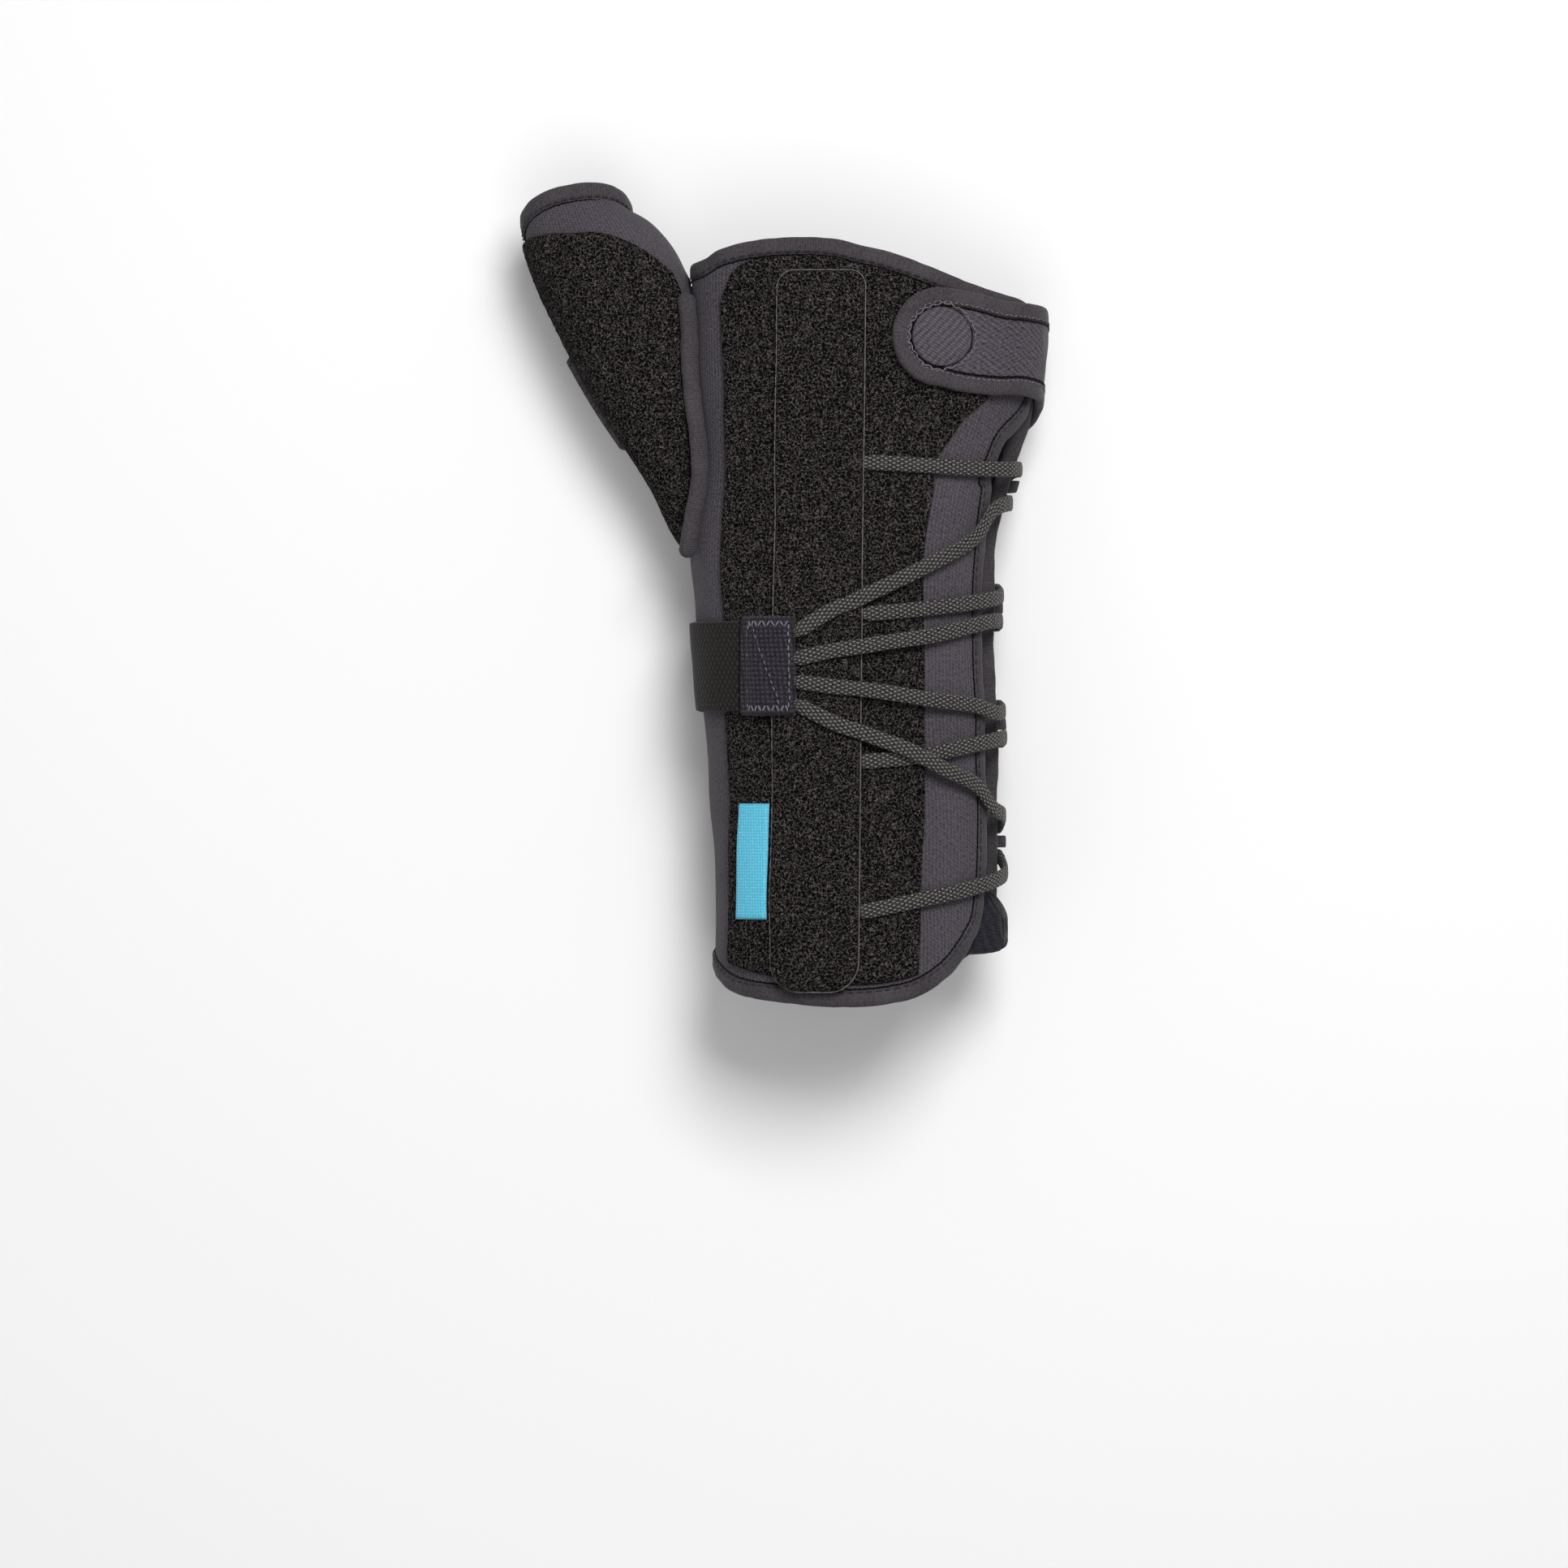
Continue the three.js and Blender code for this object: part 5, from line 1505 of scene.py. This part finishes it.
@dataclass
class ThumbPart:
    """The thumb sleeve with its roll, its pile panel, its flap and its rim tape."""

    columns: int = 150
    rows: int = 110
    stitch_pitch: float = 2.4

    def build(self) -> None:
        """Lays the sleeve and its panels round the thumb, cut where the body overlaps them."""
        sleeve = Sheet("thumb_wall", lambda u, v: (360 * u, SLEEVE_START + (1 - SLEEVE_START) * v),
                       level_of(0.0), level_of(-WALL), self.columns, self.rows,
                       surface=Surface.THUMB, closed=True)
        wall = cut(sleeve.build(), *self.cutters())
        dress(wall, KNIT, "knit", "thumb_sleeve")
        roll = self.roll(0.0)
        dress(roll.build(), BINDING, "binding", "thumb_seam_binding")
        pile = self.panel("thumb_pile", THUMB_PILE, CLEARANCE + PILE_FACE, 100, 150, ruffle=0.16)
        dress(pile, PILE_CLOTH, "pile", "thumb_pile_panel")
        flap = self.panel("thumb_pad", THUMB_FLAP, CLEARANCE + FLAP, 40, 36)
        dress(flap, KNIT, "knit", "thumb_flap")
        spots = np.stack([np.arange(200) / 200 * 360, np.ones(200), np.full(200, -WALL / 2)], -1)
        rim = Tape("thumb_rim_tape", spots, TAPE_HALF, WALL / 2 + TAPE_PROUD, aside=BOUND_ASIDE,
                   surface=Surface.THUMB, circle=True, power=3.4, ripple=0.05)
        dress(rim.build(), BINDING, "binding", "thumb_rim_binding")
        sew_down(rim, "thumb_rim", 1, self.stitch_pitch)

    def roll(self, grow: float) -> Tape:
        """The padded binding roll over the thumb's base."""
        spots = Line(THUMB_SEAM).spots(120, CLEARANCE + ROLL_THICKNESS / 2)
        return Tape("thumb_roll", spots, ROLL_WIDTH / 2 + grow, ROLL_THICKNESS / 2 + grow,
                    power=2.4, ripple=0.05 if grow == 0 else 0.0)

    def cutters(self) -> list[Piece]:
        """The body's face, the roll and the hand tape, each grown by the gap."""
        tape = edge_tape("cutter", HAND_LINE, 120, BOUND_ASIDE, CLEARANCE)
        return [core(Surface.BODY, CLEARANCE, 0.45, 1.03, 60, 120), self.roll(CLEARANCE).build(),
                tape.build()]

    def panel(self, name: str, rows: tuple, outer: float, columns: int, steps: int,
              ruffle: float = 0.0) -> Piece:
        """A panel on the sleeve whose strips run between two shares of its length.

        Args:
            name: The piece's name.
            rows: Its table of degrees, start and stop.
            outer: Height of its face.
            columns: Strips round the sleeve.
            steps: Steps along it.
            ruffle: Height of its tufts.

        Returns:
            The panel, cut where the body overlaps it.
        """
        reach = Table(*rows)
        first, last = reach.keys[0], reach.keys[-1]

        def spread(u: Array, v: Array) -> tuple[Array, Array]:
            """Degrees round the sleeve and the share of its length between the strip's ends."""
            around = first + (last - first) * u
            ends = reach.at(around)
            return around, ends["start"] + (ends["stop"] - ends["start"]) * v

        sheet = Sheet(name, spread, level_of(outer), level_of(2 * CLEARANCE), columns, steps,
                      surface=Surface.THUMB, round_edge=1.0, ruffle=ruffle, seed=11)
        return cut(sheet.build(), *self.cutters())


@dataclass
class Lacing:
    """Four flat laces, each turned back by a ribbon loop on the palm's edge."""

    steps: int = 260
    tuck: float = 3.5
    span_steps: int = 20
    ring_steps: int = 8
    ring_sides: int = 12

    def build(self) -> None:
        """The laces, then the loops."""
        for number, rows in enumerate(LACES, 1):
            spots = self.route(rows)
            lace = Tape(f"braided_lace_{number}", spots, LACE_WIDTH / 2, LACE_THICKNESS / 2,
                        power=2.8, ripple=0.12, ripple_length=1.9, sides=14)
            dress(lace.build(), BRAID, "braid", f"lace_{number}")
            self.loop(number, rows[LOOP_TURN])

    def route(self, rows: Sequence[Spot]) -> Array:
        """A centripetal Catmull-Rom curve through a lace's rows, evenly spaced."""
        points = np.array([(*place(row, row.level.value), row.level.value) for row in rows])
        points = np.concatenate([[2 * points[0] - points[1]], points, [2 * points[-1] - points[-2]]])
        a, b, c, d = points[:-3], points[1:-2], points[2:-1], points[3:]
        gaps = [np.maximum(np.linalg.norm(q - p, axis=1), 1e-6)[:, None] ** 0.5
                for p, q in ((a, b), (b, c), (c, d))]
        start = ((b - a) / gaps[0] - (c - a) / (gaps[0] + gaps[1]) + (c - b) / gaps[1]) * gaps[1]
        stop = ((c - b) / gaps[1] - (d - b) / (gaps[1] + gaps[2]) + (d - c) / gaps[2]) * gaps[1]
        t = np.linspace(0, 1, self.span_steps + 1)[:-1][None, :, None]
        b, c, start, stop = b[:, None], c[:, None], start[:, None], stop[:, None]
        curve = np.concatenate([hermite(b, c, start, stop, t).reshape(-1, 3), points[-2:-1]])
        walked = lengths(curve)
        at = np.linspace(0, walked[-1], self.steps)
        route = np.stack([np.interp(at, walked, curve[:, i]) for i in range(3)], -1)
        tucks = [route[i] + (route[i] - route[j]) / np.linalg.norm(route[i] - route[j]) * self.tuck
                 for i, j in ((0, 4), (-1, -5))]
        return np.concatenate([tucks[:1], route, tucks[1:]])

    def loop(self, number: int, bend: Spot) -> None:
        """A ribbon round the lace's turn: a rounded ring of degrees and heights, swept along it."""
        seat = CLEARANCE + LOOP_THICKNESS / 2
        level = bend.level.value
        top = level + LACE_THICKNESS / 2 + seat + 2 * CLEARANCE
        middle = (LOOP_SEWN + LOOP_FOLD) / 2
        ring = np.array([
            [LOOP_SEWN, seat], [middle, seat], [LOOP_FOLD - 2, seat], [LOOP_FOLD, (seat + top) / 2],
            [LOOP_FOLD - 2, top], [middle, top], [LOOP_SEWN + 2, (level + top) / 2],
            [LOOP_SEWN - 2.5, (seat + level) / 2],
        ])
        per_degree = np.radians(body_shape(np.array(bend.along * BODY_LENGTH))[1])
        t = np.linspace(0, 1, self.ring_steps + 1)[:-1][None, :, None]
        a, b, c, d = (np.roll(ring, by, 0)[:, None] for by in (1, 0, -1, -2))
        fine = hermite(b, c, (c - a) / 2, (d - b) / 2, t).reshape(-1, 2)
        run = (np.roll(fine, -1, 0) - np.roll(fine, 1, 0)) * np.array([per_degree, 1])
        run = unit(run) * LOOP_THICKNESS / 2
        angle = (np.arange(self.ring_sides) + 0.5) / self.ring_sides * 2 * np.pi
        thick, wide = swell(np.cos(angle), 3.0), swell(np.sin(angle), 4.0) * LOOP_WIDTH / 2
        around = fine[:, :1] - run[:, 1:] / per_degree * thick
        out = fine[:, 1:] + run[:, :1] * thick
        points = body(around, bend.along * BODY_LENGTH + wide[None, :], out)
        faces = skin(len(fine), self.ring_sides, True)
        marks = np.stack([wide[faces % self.ring_sides], (faces // self.ring_sides) * 0.45], -1)
        piece = make(f"ribbon_loop_{number}", points.reshape(-1, 3), faces, marks)
        dress(piece, BINDING, "binding", f"guide_loop_{number}")


@dataclass
class Pull:
    """The elastic pull band and the webbing patch that the laces are sewn into."""

    def build(self) -> None:
        """The patch with its box of stitches, then the band round the thumb's side."""
        sheet = Sheet("webbing_patch", self.between(PATCH_WIDTH, over(PATCH_LEFT, 0), over(PATCH_RIGHT, 0)),
                      lambda around, run: self.seat(around, run) + PATCH - self.sewn(around, run),
                      self.seat, 80, 120, round_edge=1.0)
        dress(sheet.build(), WEBBING, "webbing", "pull_patch")
        band_start = PATCH_LEFT - 2 * CLEARANCE / HAND_WIDTH
        band = Sheet("elastic_band", self.between(BAND_WIDTH, turn(BAND_ROUND, 0), over(band_start, 0)),
                     lambda around, run: self.drop(around, run) + BAND, self.drop, 120, 60,
                     round_edge=0.5)
        dress(band.build(), ELASTIC, "elastic", "pull_band")
        self.box_stitches()

    def seat(self, around: Array, run: Array) -> Array:
        """The height of the patch's underside: over the strip, then down towards the pile."""
        start, stop = (seen_from_above(across * HAND_WIDTH, run, PATCH_SEAT)[0]
                       for across in (STRIP_EDGE_ACROSS, PATCH_LEFT))
        return PATCH_SEAT + (STRIP_SEAT - PATCH_SEAT) * smoothstep(around, start, stop)

    def drop(self, around: Array, run: Array) -> Array:
        """The height of the band's underside, sinking off the pile's edge on to the wall."""
        return STRIP_SEAT + (2 * CLEARANCE - STRIP_SEAT) * smoothstep(around, *BAND_DROP)

    def between(self, width: float, left: Spot, right: Spot) -> Place:
        """A rectangle of a width between two places, in degrees and millimetres."""

        def spread(u: Array, v: Array) -> tuple[Array, Array]:
            """The places at shares u and v."""
            run = BAND_ALONG * BODY_LENGTH + (v - 0.5) * width
            start, stop = (
                seen_from_above(spot.across * HAND_WIDTH, run, PATCH_SEAT)[0]
                if spot.around is None else spot.around for spot in (right, left)
            )
            return start + (stop - start) * u, run

        return spread

    def rows_of_stitches(self) -> list[tuple[float, float, float, float]]:
        """The box's sides and its slanting line, as ends in millimetres seen from above."""
        y = BAND_ALONG * BODY_LENGTH
        left, right = PATCH_LEFT * HAND_WIDTH + 1.6, PATCH_RIGHT * HAND_WIDTH - 2.0
        low, high = y - PATCH_WIDTH / 2 + 2.0, y + PATCH_WIDTH / 2 - 2.0
        return [(left, high, right, high), (right, high, right, low), (right, low, left, low),
                (left, low, left, high), (left + 2.2, high - 1, right - 2.6, low + 1)]

    def sewn(self, around: Array, run: Array) -> Array:
        """How far the stitches pull the webbing in: a groove along each row."""
        points = body(around, run, PATCH_SEAT)
        spot = points[..., :2]
        pull = np.zeros(around.shape)
        for x0, y0, x1, y1 in self.rows_of_stitches():
            a, b = np.array([x0, y0]), np.array([x1, y1])
            t = np.clip(((spot - a) @ (b - a)) / ((b - a) @ (b - a)), 0, 1)
            away = np.linalg.norm(spot - (a + t[..., None] * (b - a)), axis=-1)
            pull = np.maximum(pull, np.exp(-((away / 0.9) ** 2)))
        return 0.55 * pull

    def box_stitches(self) -> None:
        """Threads along the box, with close bars at its top and bottom."""
        for number, (x0, y0, x1, y1) in enumerate(self.rows_of_stitches(), 1):
            t = np.linspace(0, 1, 60)
            around, run = seen_from_above(x0 + (x1 - x0) * t, y0 + (y1 - y0) * t, PATCH_SEAT + PATCH)
            out = self.seat(around, run) + PATCH - 0.32
            points = body(around, run, out)
            normals = points - body(around, run, out - 1)
            bar = number in (1, 3)
            row = Stitches(f"box_stitches_{number}", points, normals,
                           pitch=1.25 if bar else 1.9, length=0.9 if bar else 1.5,
                           width=0.3, swing=0.8 if bar else 0.15,
                           style=Thread.ZIGZAG if bar else Thread.RUNNING)
            dress(row.build(), BOX_THREAD, "webbing")


@dataclass
class Studio:
    """A pale floor, soft lights and the camera straight over the splint."""

    frame_width: float = 0.4347
    middle: tuple[float, float] = (-0.0001, -0.0531)
    height: float = 2.6
    top_of_splint: float = 0.05
    sky: float = 0.26
    lamps: tuple = (
        ("key", (0.3, 0.6, 1.3), 0.6, 17.0),
        ("fill", (0.1, -0.5, 1.4), 0.9, 4.0),
        ("low", (-0.7, -0.5, 0.7), 0.7, 0.8),
    )
    floor_size: float = 3.0
    floor_steps: int = 24
    floor_drop: float = 0.0004

    def build(self) -> None:
        """Floor, world, lamps and camera."""
        self.floor()
        world = bpy.data.worlds.new("studio")
        bpy.context.scene.world = world
        tree = emptied(world)
        light = add(tree, "ShaderNodeBackground", {"Color": (1, 1, 1, 1), "Strength": self.sky})
        add(tree, "ShaderNodeOutputWorld", {"Surface": light.outputs[0]})
        bpy.context.scene.view_settings.view_transform = "Standard"
        for lamp in self.lamps:
            self.lamp(*lamp)
        self.camera()

    def floor(self) -> None:
        """A floor just under the splint, as a grid that rises gently far off."""
        row = self.floor_steps + 1
        x, y = np.meshgrid(*2 * [np.linspace(-self.floor_size, self.floor_size, row)])
        z = 0.02 * smoothstep(np.hypot(x, y), 1.8, 4.0) - self.floor_drop
        points = np.stack([x, y, z], -1).reshape(-1, 3)
        corner = np.arange(row * row).reshape(row, row)[:-1, :-1, None]
        faces = corner + np.array([0, 1, row + 1, row])
        mesh = bpy.data.meshes.new("floor")
        mesh.from_pydata(points, [], faces.reshape(-1, 4).tolist())
        mesh.materials.append(Backdrop().material())
        floor = linked("floor", mesh)

    def lamp(self, name: str, spot: tuple[float, float, float], size: float, power: float) -> None:
        """A square soft box that faces the splint."""
        light = bpy.data.lights.new(name, "AREA")
        light.size, light.energy = size, power
        lamp = linked(name, light)
        lamp.location = spot
        lamp.rotation_euler = (-Vector(spot)).to_track_quat("-Z", "Y").to_euler()

    def camera(self) -> None:
        """A long lens straight down: its focal length is the sensor times distance over width."""
        data = bpy.data.cameras.new("camera")
        data.sensor_width = 36.0
        data.sensor_fit = "AUTO"
        data.lens = data.sensor_width * (self.height - self.top_of_splint) / self.frame_width
        camera = linked("camera", data)
        camera.location = (*self.middle, self.height)
        bpy.context.scene.camera = camera


def main() -> None:
    """Builds the sub-assemblies in order, then the studio."""
    logging.basicConfig(level=logging.INFO, format="%(name)s: %(message)s")
    for part in (Wall(), Back(), Tongue(), Strap(), ThumbPart(), Lacing(), Pull(), Studio()):
        part.build()
        log.info("%s done", type(part).__name__)


if __name__ == "__main__":
    main()
